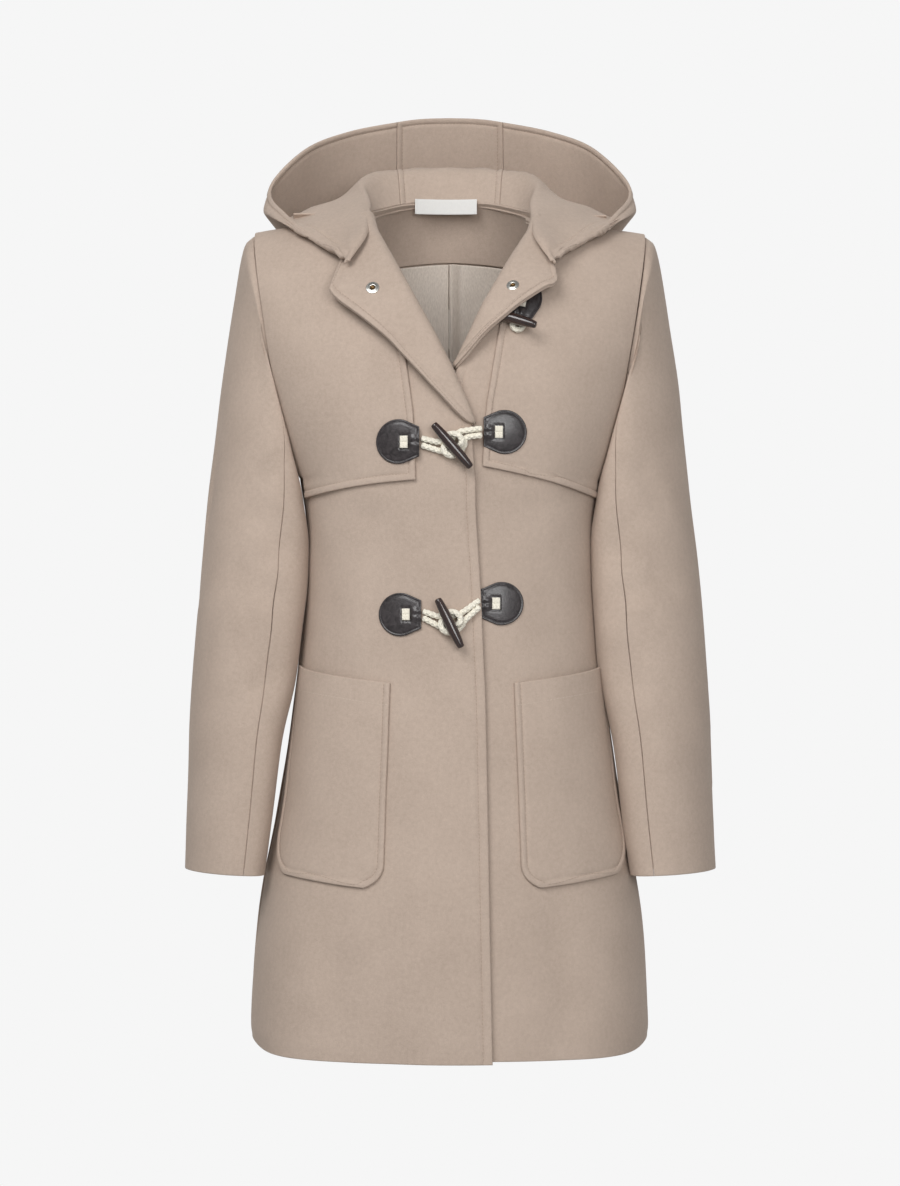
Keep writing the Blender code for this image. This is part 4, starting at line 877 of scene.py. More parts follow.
def in_row(row, share):
    """Level and turn at a share of the way across a front's row."""
    return mix(row[0][0], row[1][0], share), mix(row[0][1], row[1][1], share)


TOP_LONG, FOOT_LONG = 0.042, 0.034       # lengths of the lapel's first interval and of the hem's
ROWS_APART, NO_SHARE = 0.06, 1e-9        # rows nearer than the first are thinned out


def row_places(which, top_steps, low_steps, pitch=0.0058):
    """Rows of a front at an even pitch, finer under the lapel's top edge and over the hem."""
    last = int(LAPEL_FOOT) + len(LOWER_LEVELS[which])
    places = [float(last)]
    for row in range(last):
        above, below = front_row(which, row), front_row(which, row + 1)
        long = max((front_point(SIDES[which], *a) - front_point(SIDES[which], *b)).length
                   for a, b in zip(above, below))
        count = max(2, math.ceil(long / pitch))
        places += [row + i / count for i in range(count)]
    fine = ([LAPEL_TOP + d / TOP_LONG for d in top_steps]
            + [last - d / FOOT_LONG for d in low_steps])
    places = sorted(set(places + fine))

    def is_fine(place):
        return any(abs(place - f) < NO_SHARE for f in fine)

    kept = [places[0]]
    for place in places[1:]:
        close = place - kept[-1] < ROWS_APART
        if not close or is_fine(place):
            if close and len(kept) > 1 and not is_fine(kept[-1]):
                kept.pop()
            kept.append(place)
    return kept


FrontGrid = namedtuple("FrontGrid", "points there rows lapel_cols")
LAPEL_STITCH, FRONT_STITCH = 0.0070, 0.0088
LAPEL_AWAY = steps(LAPEL_STITCH) + [0.0150, 0.0190, 0.0230, 0.0270, 0.0315, 0.0360, 0.0410,
                                    0.0460, 0.0510]


def front_grid(which, rows, reach=1.0, near=(0.0,), across=36):
    """The front and its lapel as one grid; the lapel's columns come first.

    reach is the share of the front's width that the piece takes up beside the lapel.
    """
    side = SIDES[which]
    lapel_cols = len(LAPEL_AWAY) + FOLD_COLS
    body_part = as_array([front_point(side, *in_row(front_row(which, row), reach * i / across))
                          for i in range(across + 1)] for row in rows)
    body_part = respaced(body_part, near, steps(), 0.0052)
    points = np.zeros((len(rows), lapel_cols + body_part.shape[1], 3))
    points[:, lapel_cols:] = body_part
    there = np.ones(points.shape[:2], bool)
    for r, row in enumerate(rows):
        if LAPEL_TOP - NO_SHARE <= row <= LAPEL_FOOT + NO_SHARE:
            points[r, :lapel_cols] = lapel_row(which, row - LAPEL_TOP, LAPEL_AWAY)
        else:
            there[r, :lapel_cols] = False
    return FrontGrid(points, there, rows, lapel_cols)


FRONT_FOLDS = {
    "right": [
        Fold([(-0.152, -0.06, -0.262), (-0.110, -0.10, -0.292), (-0.060, -0.115, -0.300)],
             0.013, -0.0034),
        Fold([(-0.135, -0.08, -0.300), (-0.100, -0.11, -0.380), (-0.092, -0.12, -0.440)],
             0.020, 0.0026),
        Fold([(-0.100, -0.11, -0.640), (-0.110, -0.12, -0.720), (-0.118, -0.12, -0.800)],
             0.026, -0.0040),
        Fold([(-0.020, -0.13, -0.520), (-0.024, -0.14, -0.640), (-0.030, -0.14, -0.780)],
             0.030, 0.0026),
    ],
    "left": [
        Fold([(0.152, -0.06, -0.262), (0.112, -0.10, -0.286), (0.062, -0.115, -0.290)],
             0.013, -0.0034),
        Fold([(0.070, -0.12, -0.300), (0.066, -0.12, -0.360), (0.072, -0.12, -0.430)],
             0.020, 0.0024),
        Fold([(0.090, -0.12, -0.660), (0.104, -0.12, -0.730), (0.112, -0.12, -0.805)],
             0.026, -0.0040),
    ],
}


def front_rise(which, grid):
    """Swell and creases of a front, fading out over its lapel."""
    lift = risen(grid.points, FRONT_FOLDS[which])
    lift[:, :grid.lapel_cols] *= np.linspace(0, 1, grid.lapel_cols)[None] ** 2
    return lift


fronts = {}
for which, side in SIDES.items():
    rows = row_places(which, steps(LAPEL_STITCH), steps())
    grid = front_grid(which, rows, near=steps(FRONT_STITCH))
    made = cloth_piece(f"front_{which}_cloth", grid.points, WOOL, flip=side < 0,
                       stitch=[("left", FRONT_STITCH)], there=grid.there,
                       rise=front_rise(which, grid), open_low=grid.lapel_cols)
    fronts[which] = (grid, made)
    sewn(made.obj, WOOL_FINISH, f"front_{which}")

# ---------------------------------------------------------------- shoulder flaps
# A second layer of the wool covers each shoulder and the upper chest against rain. It is caught
# in the shoulder and armhole seams, and its free edges are turned and stitched 7 mm in.
FLAP_OUT, FLAP_STITCH = LAY + WOOL, 0.0066
FLAP_SHORT, FLAP_OUTER_SHARE = 0.012, 0.80
FLAP_EDGE = {                # half width and height of its front edge, from the neck down
    "right": [(0.0840, 0.0), (0.0720, -0.0600), (0.0440, -0.1300), (0.0345, -0.2000),
              (0.0320, -0.2630)],
    "left": [(0.0840, 0.0), (0.0760, -0.0600), (0.0470, -0.1150), (0.0330, -0.2000),
             (0.0305, -0.2500)],
}
FLAP_OUTER, FLAP_BOW = (0.1400, -0.2785), 0.0025     # the lower edge's outer end, and its bow
FLAP_LEAVES, FLAP_LEAVING = 6.0, 0.9     # levels over which its outer edge leaves the armhole
FLAP_TABLE, FLAP_TABLES = 0.25, 52       # the front's rows that a flap is worked out from
FLAP_HIGH, FLAP_LOW = 4.0, 12.5          # rows between which its lower edge lies


def flap_edge_x(which, z):
    edge = FLAP_EDGE[which]
    for upper, lower in zip(edge, edge[1:]):
        if z >= lower[1]:
            return mix(upper[0], lower[0], clamp((z - upper[1]) / (lower[1] - upper[1])))
    return edge[-1][0]


def flap_low_z(which, x):
    corner = FLAP_EDGE[which][-1]
    share = (x - corner[0]) / (FLAP_OUTER[0] - corner[0])
    return mix(corner[1], FLAP_OUTER[1], share) + FLAP_BOW * math.sin(math.pi * clamp(share))


def share_at(side, row, x):
    """Share of the way across a front's row at which it passes this half width."""
    return halved(0.0, 1.0, lambda share: front_point(side, *in_row(row, share)).x * side < x, 18)


def flap_rows(which, across=26, down=44):
    """Points of the flap between the shoulder seam and its lower edge."""
    side = SIDES[which]
    rows = [front_row(which, i * FLAP_TABLE) for i in range(FLAP_TABLES)]
    starts, ends = [], []
    for row in rows:
        start = 0.0
        for _ in range(5):
            z = front_point(side, *in_row(row, start)).z
            start = share_at(side, row, flap_edge_x(which, z))
        starts.append(start)
        leaving = clamp((row[1][0] - FLAP_LEAVES) / FLAP_LEAVING)
        ends.append(1 - mix(FLAP_SHORT, 1 - FLAP_OUTER_SHARE, leaving))

    def spot(row, share):
        place = row / FLAP_TABLE
        share = mix(mix_list(starts, place), mix_list(ends, place), share)
        i = min(int(place), len(rows) - 2)
        a, b = in_row(rows[i], share), in_row(rows[i + 1], share)
        return mix(a[0], b[0], place - i), mix(a[1], b[1], place - i)

    def above_edge(row, share):
        point = front_point(side, *spot(row, share))
        return point.z > flap_low_z(which, point.x * side)

    feet = [halved(FLAP_HIGH, FLAP_LOW, lambda row: above_edge(row, c / across), 18)
            for c in range(across + 1)]
    return [[front_point(side, *spot(feet[c] * r / down, c / across), FLAP_OUT)
             for c in range(across + 1)] for r in range(down + 1)]


THREAD = 0.00028             # half a topstitch's thickness
STITCH_LONG, STITCH_GAP = 0.0026, 0.0008


def run_along(points):
    """How far along a line each of its points lies."""
    return np.concatenate([[0], np.cumsum(np.linalg.norm(np.diff(points, axis=0), axis=1))])


def tube(rings, around, first=0):
    """Faces between rings of corners, starting from corner number first."""
    return [(first + i * around + k, first + i * around + (k + 1) % around,
             first + (i + 1) * around + (k + 1) % around, first + (i + 1) * around + k)
            for i in range(rings - 1) for k in range(around)]


def stitching(name, lines, finish, long=STITCH_LONG, gap=STITCH_GAP, thread=THREAD):
    """Rows of separate stitches along lines of (points, normals), each a short bead of thread."""
    corners, faces = [], []
    for points, normals in lines:
        run, start = run_along(points), gap
        while start + long < run[-1]:
            ends = []
            for at in (start, start + long / 2, start + long):
                place = np.interp(at, run, np.arange(len(run)))
                i = min(int(place), len(run) - 2)
                ends.append((Vector(mix(points[i], points[i + 1], place - i)),
                             Vector(mix(normals[i], normals[i + 1], place - i)).normalized()))
            ahead = (ends[2][0] - ends[0][0]).normalized()
            first = len(corners)
            for (spot, out), size, high in zip(ends, (0.55, 1.0, 0.55), (-0.4, 0.5, -0.4)):
                aside = ahead.cross(out).normalized()
                middle = spot + out * (thread * high)
                for k in range(4):
                    angle = math.pi * (k + 0.5) / 2
                    corners.append(middle + aside * (math.cos(angle) * thread * size)
                                   + out * (math.sin(angle) * thread * size))
            faces += tube(3, 4, first)
            faces.append(tuple(first + k for k in (3, 2, 1, 0)))
            faces.append(tuple(first + 8 + k for k in range(4)))
            start += long + gap
    return sewn(placed(name, corners, faces), finish)


def stitch_line(made, rows, cols, out=1):
    """A stretch of one row or column of a sheet, on its face or, with out -1, on its back."""
    sheet = made.face if out > 0 else made.back
    return sheet[rows, cols], out * made.normals[rows, cols]


THREAD_FINISH = napped("sewing thread", linear(176, 157, 142), linear(140, 122, 108), 2500,
                       0.0002, Roughness=0.7)
FLAP_FLARE = 0.0012          # the free lower edge stands off a little
stitch_lines, flaps = [], []
for which, side in SIDES.items():
    points = fine_grid(flap_rows(which), left=steps(FLAP_STITCH), bottom=steps(FLAP_STITCH),
                       pitch=0.005)
    flare = np.linspace(0, 1, len(points))[:, None] ** 8 * FLAP_FLARE
    made = cloth_piece(f"storm_flap_{which}_cloth", points, WOOL, flip=side < 0,
                       stitch=[("left", FLAP_STITCH), ("bottom", FLAP_STITCH)],
                       rise=risen(points) + flare)
    sewn(made.obj, WOOL_FINISH, f"storm_flap_{which}")
    flaps.append(made)
    low = len(points) - 1 - STITCHED
    stitch_lines.append(stitch_line(made, slice(4, low + 1), STITCHED))
    stitch_lines.append(stitch_line(made, low, slice(STITCHED, -3)))
thread = stitching("stitching_storm_flaps", stitch_lines, THREAD_FINISH)

# ---------------------------------------------------------------- sleeves
# Each sleeve is cut in two, a wide piece over the top of the arm and a narrow one under it, and
# hangs a little bent and turned in. The seams are pressed open, so each shows as a soft furrow.
SleeveRing = namedtuple("SleeveRing", "name out_x out_z in_x in_z front back")
SLEEVE = [
    SleeveRing("armhole", 0.1912, -0.0201, 0.1472, -0.2581, -0.0551, 0.0621),
    SleeveRing("sleeve head", 0.2035, -0.0330, 0.1505, -0.2625, -0.0585, 0.0650),
    SleeveRing("upper arm", 0.2125, -0.0800, 0.1520, -0.2720, -0.0620, 0.0665),
    SleeveRing("biceps", 0.2225, -0.1500, 0.1485, -0.2900, -0.0640, 0.0660),
    SleeveRing("above elbow", 0.2315, -0.2300, 0.1425, -0.3230, -0.0655, 0.0610),
    SleeveRing("elbow top", 0.2395, -0.3060, 0.1425, -0.3640, -0.0680, 0.0540),
    SleeveRing("elbow", 0.2460, -0.3720, 0.1475, -0.4080, -0.0710, 0.0470),
    SleeveRing("below elbow", 0.2505, -0.4350, 0.1535, -0.4560, -0.0740, 0.0420),
    SleeveRing("forearm", 0.2545, -0.5000, 0.1660, -0.5120, -0.0755, 0.0380),
    SleeveRing("wrist", 0.2575, -0.5750, 0.1740, -0.5800, -0.0760, 0.0330),
    SleeveRing("cuff", 0.2595, -0.6390, 0.1830, -0.6425, -0.0760, 0.0300),
]
FRONT_SEAM, BACK_SEAM, SLEEVE_TURN, SLEEVE_IN = 98, 240, 0.28, 0.0030
SLEEVE_NEARER = 0.0040       # the left sleeve hangs this much nearer to the skirt
OUTER_ROUND, INNER_ROUND = 2.1, 2.6      # the sleeve is squarer on the body's side
SLEEVE_RADIUS = 0.05         # makes a short way round the sleeve into a turn
SLEEVE_FOLD_LONG = 0.45      # how far a crease reaches along the sleeve, in rings
SleeveFold = namedtuple("SleeveFold", "place turn width depth")
SLEEVE_FOLDS = [SleeveFold(4.6, 95, 42, 0.0045), SleeveFold(5.7, 80, 38, 0.0050),
                SleeveFold(6.8, 100, 40, 0.0035)]


def sleeve_point(side, place, turn):
    """place runs from the armhole to the cuff; turn 0 is outside, 90 front, 180 the body."""
    ring = {name: smooth(column(SLEEVE, name), place) for name in SleeveRing._fields[1:]}
    if side > 0:
        ring["in_x"] -= SLEEVE_NEARER * ease((place - 5) / 2)
    angle = math.radians(turn)
    outer = Vector((ring["out_x"] - SLEEVE_IN * ease(place / 3), 0, ring["out_z"]))
    inner = Vector((ring["in_x"], 0, ring["in_z"]))
    middle = (ring["front"] + ring["back"]) / 2
    reach = (ring["back"] - ring["front"]) / 2
    power = 2 / mix(OUTER_ROUND, INNER_ROUND, ease(0.5 - math.cos(angle)) * ease(place / 3))
    sway = math.copysign(abs(math.sin(angle)) ** power, math.sin(angle))
    lean = math.copysign(abs(math.cos(angle)) ** power, math.cos(angle))
    bow = ARM_BELLY * abs(math.sin(angle)) * (1 - ease(place / 2))
    dent = 0.0
    for fold in SLEEVE_FOLDS:
        near = (place - fold.place) / SLEEVE_FOLD_LONG
        round_ = (turn - fold.turn) / fold.width
        dent += fold.depth * math.exp(-near * near - round_ * round_)
    shrink = 1 - dent / reach
    centre = (outer + inner) * 0.5
    centre.x += bow
    point = centre + (outer - inner) * 0.5 * lean * shrink
    point.y = middle - reach * sway * shrink
    point.x += SLEEVE_TURN * (point.y - middle) * ease(place / 3)
    point.x *= side
    return point


def sleeve_folds(side):
    """Creases of a worn sleeve: drags from the armhole and soft breaks at the elbow."""
    folds = [
        Fold([(0.200, -0.050, -0.055), (0.196, -0.064, -0.110), (0.180, -0.064, -0.170)],
             0.012, -0.0030),
        Fold([(0.160, -0.055, -0.240), (0.190, -0.066, -0.262), (0.222, -0.050, -0.290)],
             0.013, -0.0042),
        Fold([(0.150, -0.055, -0.330), (0.190, -0.072, -0.340), (0.228, -0.052, -0.372)],
             0.014, -0.0044),
        Fold([(0.152, -0.060, -0.390), (0.196, -0.074, -0.382), (0.238, -0.055, -0.420)],
             0.014, 0.0036),
        Fold([(0.156, -0.060, -0.450), (0.200, -0.076, -0.462), (0.240, -0.055, -0.500)],
             0.016, -0.0034),
        Fold([(0.205, 0.058, -0.090), (0.190, 0.066, -0.170), (0.176, 0.062, -0.250)],
             0.014, -0.0034),
        Fold([(0.160, 0.050, -0.330), (0.200, 0.056, -0.350), (0.240, 0.040, -0.340)],
             0.016, 0.0032),
    ]
    return [Fold([(x * side, y, z) for x, y, z in fold.points], fold.width, fold.depth)
            for fold in folds]


for which, side in SIDES.items():
    gap = math.degrees(SEAM * 0.35 / SLEEVE_RADIUS)
    for part, start, stop, cols in (
            ("top", BACK_SEAM - 360 + gap, FRONT_SEAM - gap, 44),
            ("under", FRONT_SEAM + gap, BACK_SEAM - gap, 24)):
        rough = [[sleeve_point(side, i / 6, mix(start, stop, c / cols)) for c in range(cols + 1)]
                 for i in range(61)]
        points = fine_grid(rough)
        made = cloth_piece(f"{part}_sleeve_{which}_cloth", points, WOOL, flip=side > 0,
                           rise=risen(points, sleeve_folds(side), 0.8))
        sewn(made.obj, WOOL_FINISH, f"{part}_sleeve_{which}")

# ---------------------------------------------------------------- hood
# The hood is a centre strip between two sides, sewn into the neckline and lying down the back,
# its opening upwards. Its front edge is turned and stitched, and so are the strip's two seams.
HoodStation = namedtuple("HoodStation", "name neck ridge drop floor wall rim")
HOOD = [
    HoodStation("back centre", (0, 0.0716, 0.0205), (0, 0.0900, 0.0540), (0, 0.1230, -0.0500),
                (0, 0.1420, -0.1950), (0, 0.1980, -0.0650), (0, 0.1400, 0.1160)),
    HoodStation("centre panel", (0.0275, 0.0673, 0.0198), (0.0270, 0.0895, 0.0535),
                (0.0280, 0.1220, -0.0500), (0.0290, 0.1405, -0.1900),
                (0.0290, 0.1960, -0.0640), (0.0280, 0.1390, 0.1150)),
    HoodStation("panel seam", (0.0500, 0.0566, 0.0160), (0.0535, 0.0860, 0.0515),
                (0.0550, 0.1190, -0.0450), (0.0560, 0.1370, -0.1750),
                (0.0570, 0.1900, -0.0600), (0.0545, 0.1350, 0.1110)),
    HoodStation("back quarter", (0.0680, 0.0392, 0.0098), (0.0780, 0.0720, 0.0480),
                (0.0880, 0.1130, -0.0300), (0.0930, 0.1300, -0.1350),
                (0.1060, 0.1680, -0.0450), (0.1040, 0.1200, 0.0990)),
    HoodStation("side back", (0.0785, 0.0150, 0.0045), (0.0900, 0.0480, 0.0370),
                (0.1180, 0.0860, 0.0000), (0.1300, 0.1060, -0.0680),
                (0.1500, 0.1270, -0.0130), (0.1470, 0.0900, 0.0770)),
    HoodStation("side", (0.0808, -0.0045, 0.0005), (0.0850, 0.0060, 0.0170),
                (0.1320, 0.0330, 0.0110), (0.1620, 0.0420, -0.0060),
                (0.1840, 0.0460, 0.0060), (0.1800, 0.0500, 0.0340)),
    HoodStation("shoulder", (0.0810, -0.0240, -0.0050), (0.0830, -0.0260, 0.0005),
                (0.1150, -0.0160, -0.0015), (0.1440, -0.0300, -0.0135),
                (0.1640, -0.0240, -0.0095), (0.1600, -0.0120, 0.0005)),
    HoodStation("front", (0.0800, -0.0500, -0.0160), (0.0830, -0.0540, -0.0140),
                (0.0980, -0.0570, -0.0215), (0.1130, -0.0680, -0.0355),
                (0.1250, -0.0660, -0.0350), (0.1250, -0.0590, -0.0305)),
    HoodStation("collar", (0.0815, -0.0745, -0.0295), (0.0840, -0.0765, -0.0285),
                (0.0930, -0.0800, -0.0340), (0.1020, -0.0840, -0.0455),
                (0.1085, -0.0815, -0.0455), (0.1085, -0.0775, -0.0415)),
    HoodStation("notch", (0.0915, -0.0885, -0.0462), (0.0930, -0.0900, -0.0458),
                (0.0950, -0.0905, -0.0480), (0.0972, -0.0905, -0.0518),
                (0.0992, -0.0895, -0.0525), (0.1000, -0.0880, -0.0502)),
    HoodStation("point", (0.0972, -0.0950, -0.0546), (0.0976, -0.0955, -0.0550),
                (0.0982, -0.0957, -0.0558), (0.0990, -0.0955, -0.0566),
                (0.0997, -0.0950, -0.0570), (0.1001, -0.0943, -0.0564)),
]
PANEL_STATION, HOOD_STITCH, PANEL_STITCH = 2.0, 0.0056, 0.0060
HOOD_FRONT = len(HOOD) - 1 - PANEL_STATION


def hood_point(side, station, place):
    path = [smooth([Vector(v) for v in column(HOOD, field)], station)
            for field in HoodStation._fields[1:]]
    point = smooth(path, place).copy()
    point.x *= side
    return point


STATION_LONG = 0.027         # the way between two stations along the neck
hood_gap = 0.02 * SEAM / STATION_LONG
hood_places = [i / 14 for i in range(71)]
centre = [-2 + hood_gap + (4 - 2 * hood_gap) * i / 32 for i in range(33)]
rough = [[hood_point(math.copysign(1.0, s), abs(s), place) for s in centre]
         for place in hood_places]
points = fine_grid(rough, left=steps(PANEL_STITCH), right=steps(PANEL_STITCH),
                   bottom=steps(HOOD_STITCH))
hood_centre = cloth_piece("hood_centre_cloth", points, WOOL,
                          stitch=[("left", PANEL_STITCH), ("right", PANEL_STITCH),
                                  ("bottom", HOOD_STITCH)],
                          rise=risen(points, (), 0.5), pad=PAD / 2)
sewn(hood_centre.obj, WOOL_FINISH, "hood_centre")
low = len(points) - 1 - STITCHED
stitch_lines = [stitch_line(hood_centre, slice(3, low + 1), col, out)
                for col in (STITCHED, points.shape[1] - 1 - STITCHED) for out in (1, -1)]
stitch_lines += [stitch_line(hood_centre, low, slice(STITCHED, -STITCHED), out)
                 for out in (1, -1)]
for which, side in SIDES.items():
    stations = [PANEL_STATION + hood_gap + (HOOD_FRONT - hood_gap) * i / 80
                for i in range(81)]
    rough = [[hood_point(side, s, place) for s in stations] for place in hood_places]
    points = fine_grid(rough, bottom=steps(HOOD_STITCH), pitch=0.005)
    made = cloth_piece(f"hood_side_{which}_cloth", points, WOOL, flip=side < 0,
                       stitch=[("bottom", HOOD_STITCH)], rise=risen(points, (), 0.5))
    sewn(made.obj, WOOL_FINISH, f"hood_side_{which}")
    low = len(points) - 1 - STITCHED
    stitch_lines += [stitch_line(made, low, slice(2, -8), out) for out in (1, -1)]
thread = stitching("stitching_hood", stitch_lines, THREAD_FINISH)

# ---------------------------------------------------------------- facings
# The same wool faces the inside of each lapel, where it shows once the lapel is turned, and the
# back of the neck. A lapel and its facing are turned out at the edge and stitched 7 mm in.
FACING = 0.0020
FACING_DEEP = WOOL + LAY     # a facing's near face below the wool's outer face
FACING_INSIDE, SHORT_OF_SHOULDER = 0.95 / 9, 0.10    # shares of a front's width and first row
FACING_FINISH = wool_finish("facing wool")

facings = {}
stitch_lines = []
for which, side in SIDES.items():
    front, front_cloth = fronts[which]
    rows = [row for row in front.rows if SHORT_OF_SHOULDER <= row <= LAPEL_FOOT + NO_SHARE]
    grid = front_grid(which, rows, FACING_INSIDE)
    normals = cloth_normals(grid.points, grid.there, side < 0)
    points = grid.points + normals * (front_rise(which, grid) - FACING_DEEP)[..., None]
    made = cloth_piece(f"facing_{which}_cloth", points, FACING, flip=side < 0,
                       stitch=[("left", LAPEL_STITCH), ("top", LAPEL_STITCH)],
                       there=grid.there, open_low=grid.points.shape[1])
    sewn(made.obj, FACING_FINISH, f"facing_{which}")
    facings[which] = (grid, made)
    top = next(r for r, row in enumerate(rows) if row >= LAPEL_TOP - NO_SHARE)
    low = next(r for r, row in enumerate(rows) if row > LAPEL_TOP + 6.1)
    stitched = top + STITCHED
    stitch_lines.append(stitch_line(made, slice(stitched, low), STITCHED, -1))
    stitch_lines.append(stitch_line(made, stitched,
                                    slice(STITCHED, grid.lapel_cols - FOLD_COLS + 2), -1))
    if which == "right":
        below = next(r for r, row in enumerate(front.rows) if row > LAPEL_FOOT + 0.35)
        stitch_lines.append(stitch_line(front_cloth, slice(below, -3),
                                        front.lapel_cols + STITCHED))
thread = stitching("stitching_front_edges", stitch_lines, THREAD_FINISH)

NECK_FACING_TOP, NECK_FACING_LOW, NECK_FACING_RISE, NECK_FACING_WIDE = 0.077, 2.13, 0.28, 0.75


def neck_facing_low(share):
    """Level of the neck facing's lower edge, which rises to both sides."""
    return NECK_FACING_LOW - NECK_FACING_RISE * share * share


shares = [NECK_FACING_WIDE * k / 16 for k in range(-16, 17)]
rough = as_array([back_point(mix(NECK_FACING_TOP, neck_facing_low(share), i / 22), share)
                  for share in shares] for i in range(23))
rough = rough - cloth_normals(rough, np.ones(rough.shape[:2], bool), False) * FACING_DEEP
neck_x, neck_y, neck_z = np.array([hood_point(1.0, i / 10, 0) for i in range(51)]).T
across = np.abs(rough[0, :, 0])
to_seam = np.stack([0 * across,
                    np.interp(across, neck_x, neck_y) - WOOL - SEAM - rough[0, :, 1],
                    np.interp(across, neck_x, neck_z) + LAY - rough[0, :, 2]], axis=1)
rough += to_seam[None] * (np.linspace(1, 0, len(rough)) ** 2)[:, None, None]
points = fine_grid(rough)
made = cloth_piece("facing_back_neck_cloth", points, FACING, rise=risen(points))
sewn(made.obj, FACING_FINISH, "facing_back_neck")

# ---------------------------------------------------------------- back lining
# The back is lined with a light satin, cut wider than the wool and laid in one pleat down its
# centre, so that the shoulders can move. It hangs from the neck facing and is hemmed loose.
LINING, LINING_DEEP, LINING_HALF = 0.0012, FACING_DEEP + 0.0005, 0.19
LINING_ROOM = 0.0009         # it can come no nearer than this to the wool
PLEAT_WIDTH, PLEAT_DEPTH, PLEAT_UNDER = 0.016, 0.0055, 0.0020


def pattern(tree, kind, squeeze=None, **sockets):
    """A texture that is fixed to its piece, and may be squeezed along X, Y and Z."""
    made, place = node(tree, kind, **sockets), node(tree, "TexCoord").outputs["Object"]
    if squeeze:
        squeezed = node(tree, "Mapping", Scale=squeeze)
        tree.links.new(place, squeezed.inputs["Vector"])
        place = squeezed.outputs["Vector"]
    tree.links.new(place, made.inputs["Vector"])
    return made


def toned(tree, shader, value, dark, light):
    """Colours a surface by a value, between two tones given as (value, colour)."""
    ramp = node(tree, "ValToRGB")
    for element, tone in zip(ramp.color_ramp.elements, (dark, light)):
        element.position, element.color = tone
    tree.links.new(value, ramp.inputs["Fac"])
    tree.links.new(ramp.outputs["Color"], shader.inputs["Base Color"])


def satin_finish():
    """Satin: a tight smooth weave that shows as fine bright lines, with soft clouds."""
    made, tree, shader = new_material("satin lining", Roughness=0.42, Sheen_Weight=0.15,
                                      Anisotropic=0.4)
    weave = pattern(tree, "TexNoise", (1600, 1600, 90), Scale=1.0, Detail=2.0).outputs["Fac"]
    toned(tree, shader, weave, (0.3, linear(204, 192, 180)), (0.7, linear(226, 215, 203)))
    embossed(tree, shader, weave, 0.25, 0.0003)
    return made


SATIN_FINISH = satin_finish()
SATIN_FOLDS = [
    Fold([(-0.070, 0.09, -0.070), (-0.040, 0.11, -0.120), (-0.022, 0.11, -0.230)], 0.010, -0.0040),
    Fold([(-0.045, 0.09, -0.075), (-0.028, 0.11, -0.110), (-0.016, 0.11, -0.150)], 0.007, 0.0026),
    Fold([(0.064, 0.09, -0.075), (0.036, 0.11, -0.120), (0.022, 0.11, -0.200)], 0.010, -0.0034),
    Fold([(-0.085, 0.08, -0.100), (-0.070, 0.11, -0.240), (-0.074, 0.11, -0.420)], 0.013, -0.0018),
    Fold([(0.092, 0.08, -0.110), (0.080, 0.11, -0.260), (0.086, 0.11, -0.450)], 0.013, 0.0020),
]
LINING_BELOW, LINING_FOOT = 0.028, 12.824    # level steps under the facing, and its foot
half_x = [0.0, 0.0012, 0.0024, 0.0036, 0.0055, 0.0080, 0.0110, PLEAT_WIDTH, 0.0220]
half_shares = ([(x / LINING_HALF) ** 1.15 / 2 for x in half_x]
               + [mix(0.06, 1.0, i / 18) for i in range(19)])
half_x += [1.0] * 19
shares = [-s for s in half_shares[:0:-1]] + half_shares
from_centre = half_x[:0:-1] + half_x
inside = as_array([back_point(mix(neck_facing_low(share) + LINING_BELOW, LINING_FOOT, i / 50),
                              share) for share in shares] for i in range(51))
there = np.ones(inside.shape[:2], bool)
inside = inside - cloth_normals(inside, there, False) * LINING_DEEP
inside = respaced(inside.transpose(1, 0, 2), steps(), steps(), 0.0055).transpose(1, 0, 2)
depths = np.zeros(inside.shape[:2])
for c, share in enumerate(shares):
    over = 0.0 if share > 0 else max(0.0, 1 - from_centre[c] / PLEAT_WIDTH)
    depths[:, c] = PLEAT_DEPTH * over ** 0.7
    if share == 0.0:
        inside[:, c, 0] += PLEAT_UNDER
inside[..., 1] -= depths
lift = np.minimum(risen(inside, SATIN_FOLDS, 0.6), LINING_ROOM)
made = cloth_piece("lining_back_cloth", inside, LINING, rise=lift)
sewn(made.obj, SATIN_FINISH, "lining_back")

# ---------------------------------------------------------------- label
# A small white woven label with nothing on it is sewn into the neck seam by its top edge and
# caught at its ends.
Label = namedtuple("Label", "x width foot_z top_z level thick before lean")
LABEL = Label(-0.0040, 0.0620, 0.0083, 0.0234, 0.09, 0.0008, 0.0050, 0.0012)
LABEL_STITCH, LABEL_GROOVE = 0.0030, 0.0002
LABEL_FINISH = napped("woven label", linear(240, 239, 236), linear(222, 221, 218), 2600,
                      0.0001, Roughness=0.6)
label_deep = -(FACING_DEEP + FACING + 4 * LAY)
rough = []
for row in range(9):
    line = []
    for col in range(25):
        x = LABEL.x + LABEL.width * (col / 24 - 0.5)
        seat = body(math.copysign(1.0, x), LABEL.level, turn_at(LABEL.level, x, True),
                    label_deep)
        y = seat.y - LABEL.before + LABEL.lean * row / 8
        line.append(Vector((x, y, mix(LABEL.top_z, LABEL.foot_z, row / 8))))
    rough.append(line)
points = fine_grid(rough, pitch=0.002)
made = cloth_piece("neck_label", points, LABEL.thick, flip=True,
                   stitch=[("left", LABEL_STITCH), ("right", LABEL_STITCH)], pad=0.0,
                   groove=LABEL_GROOVE)
sewn(made.obj, LABEL_FINISH, "label")

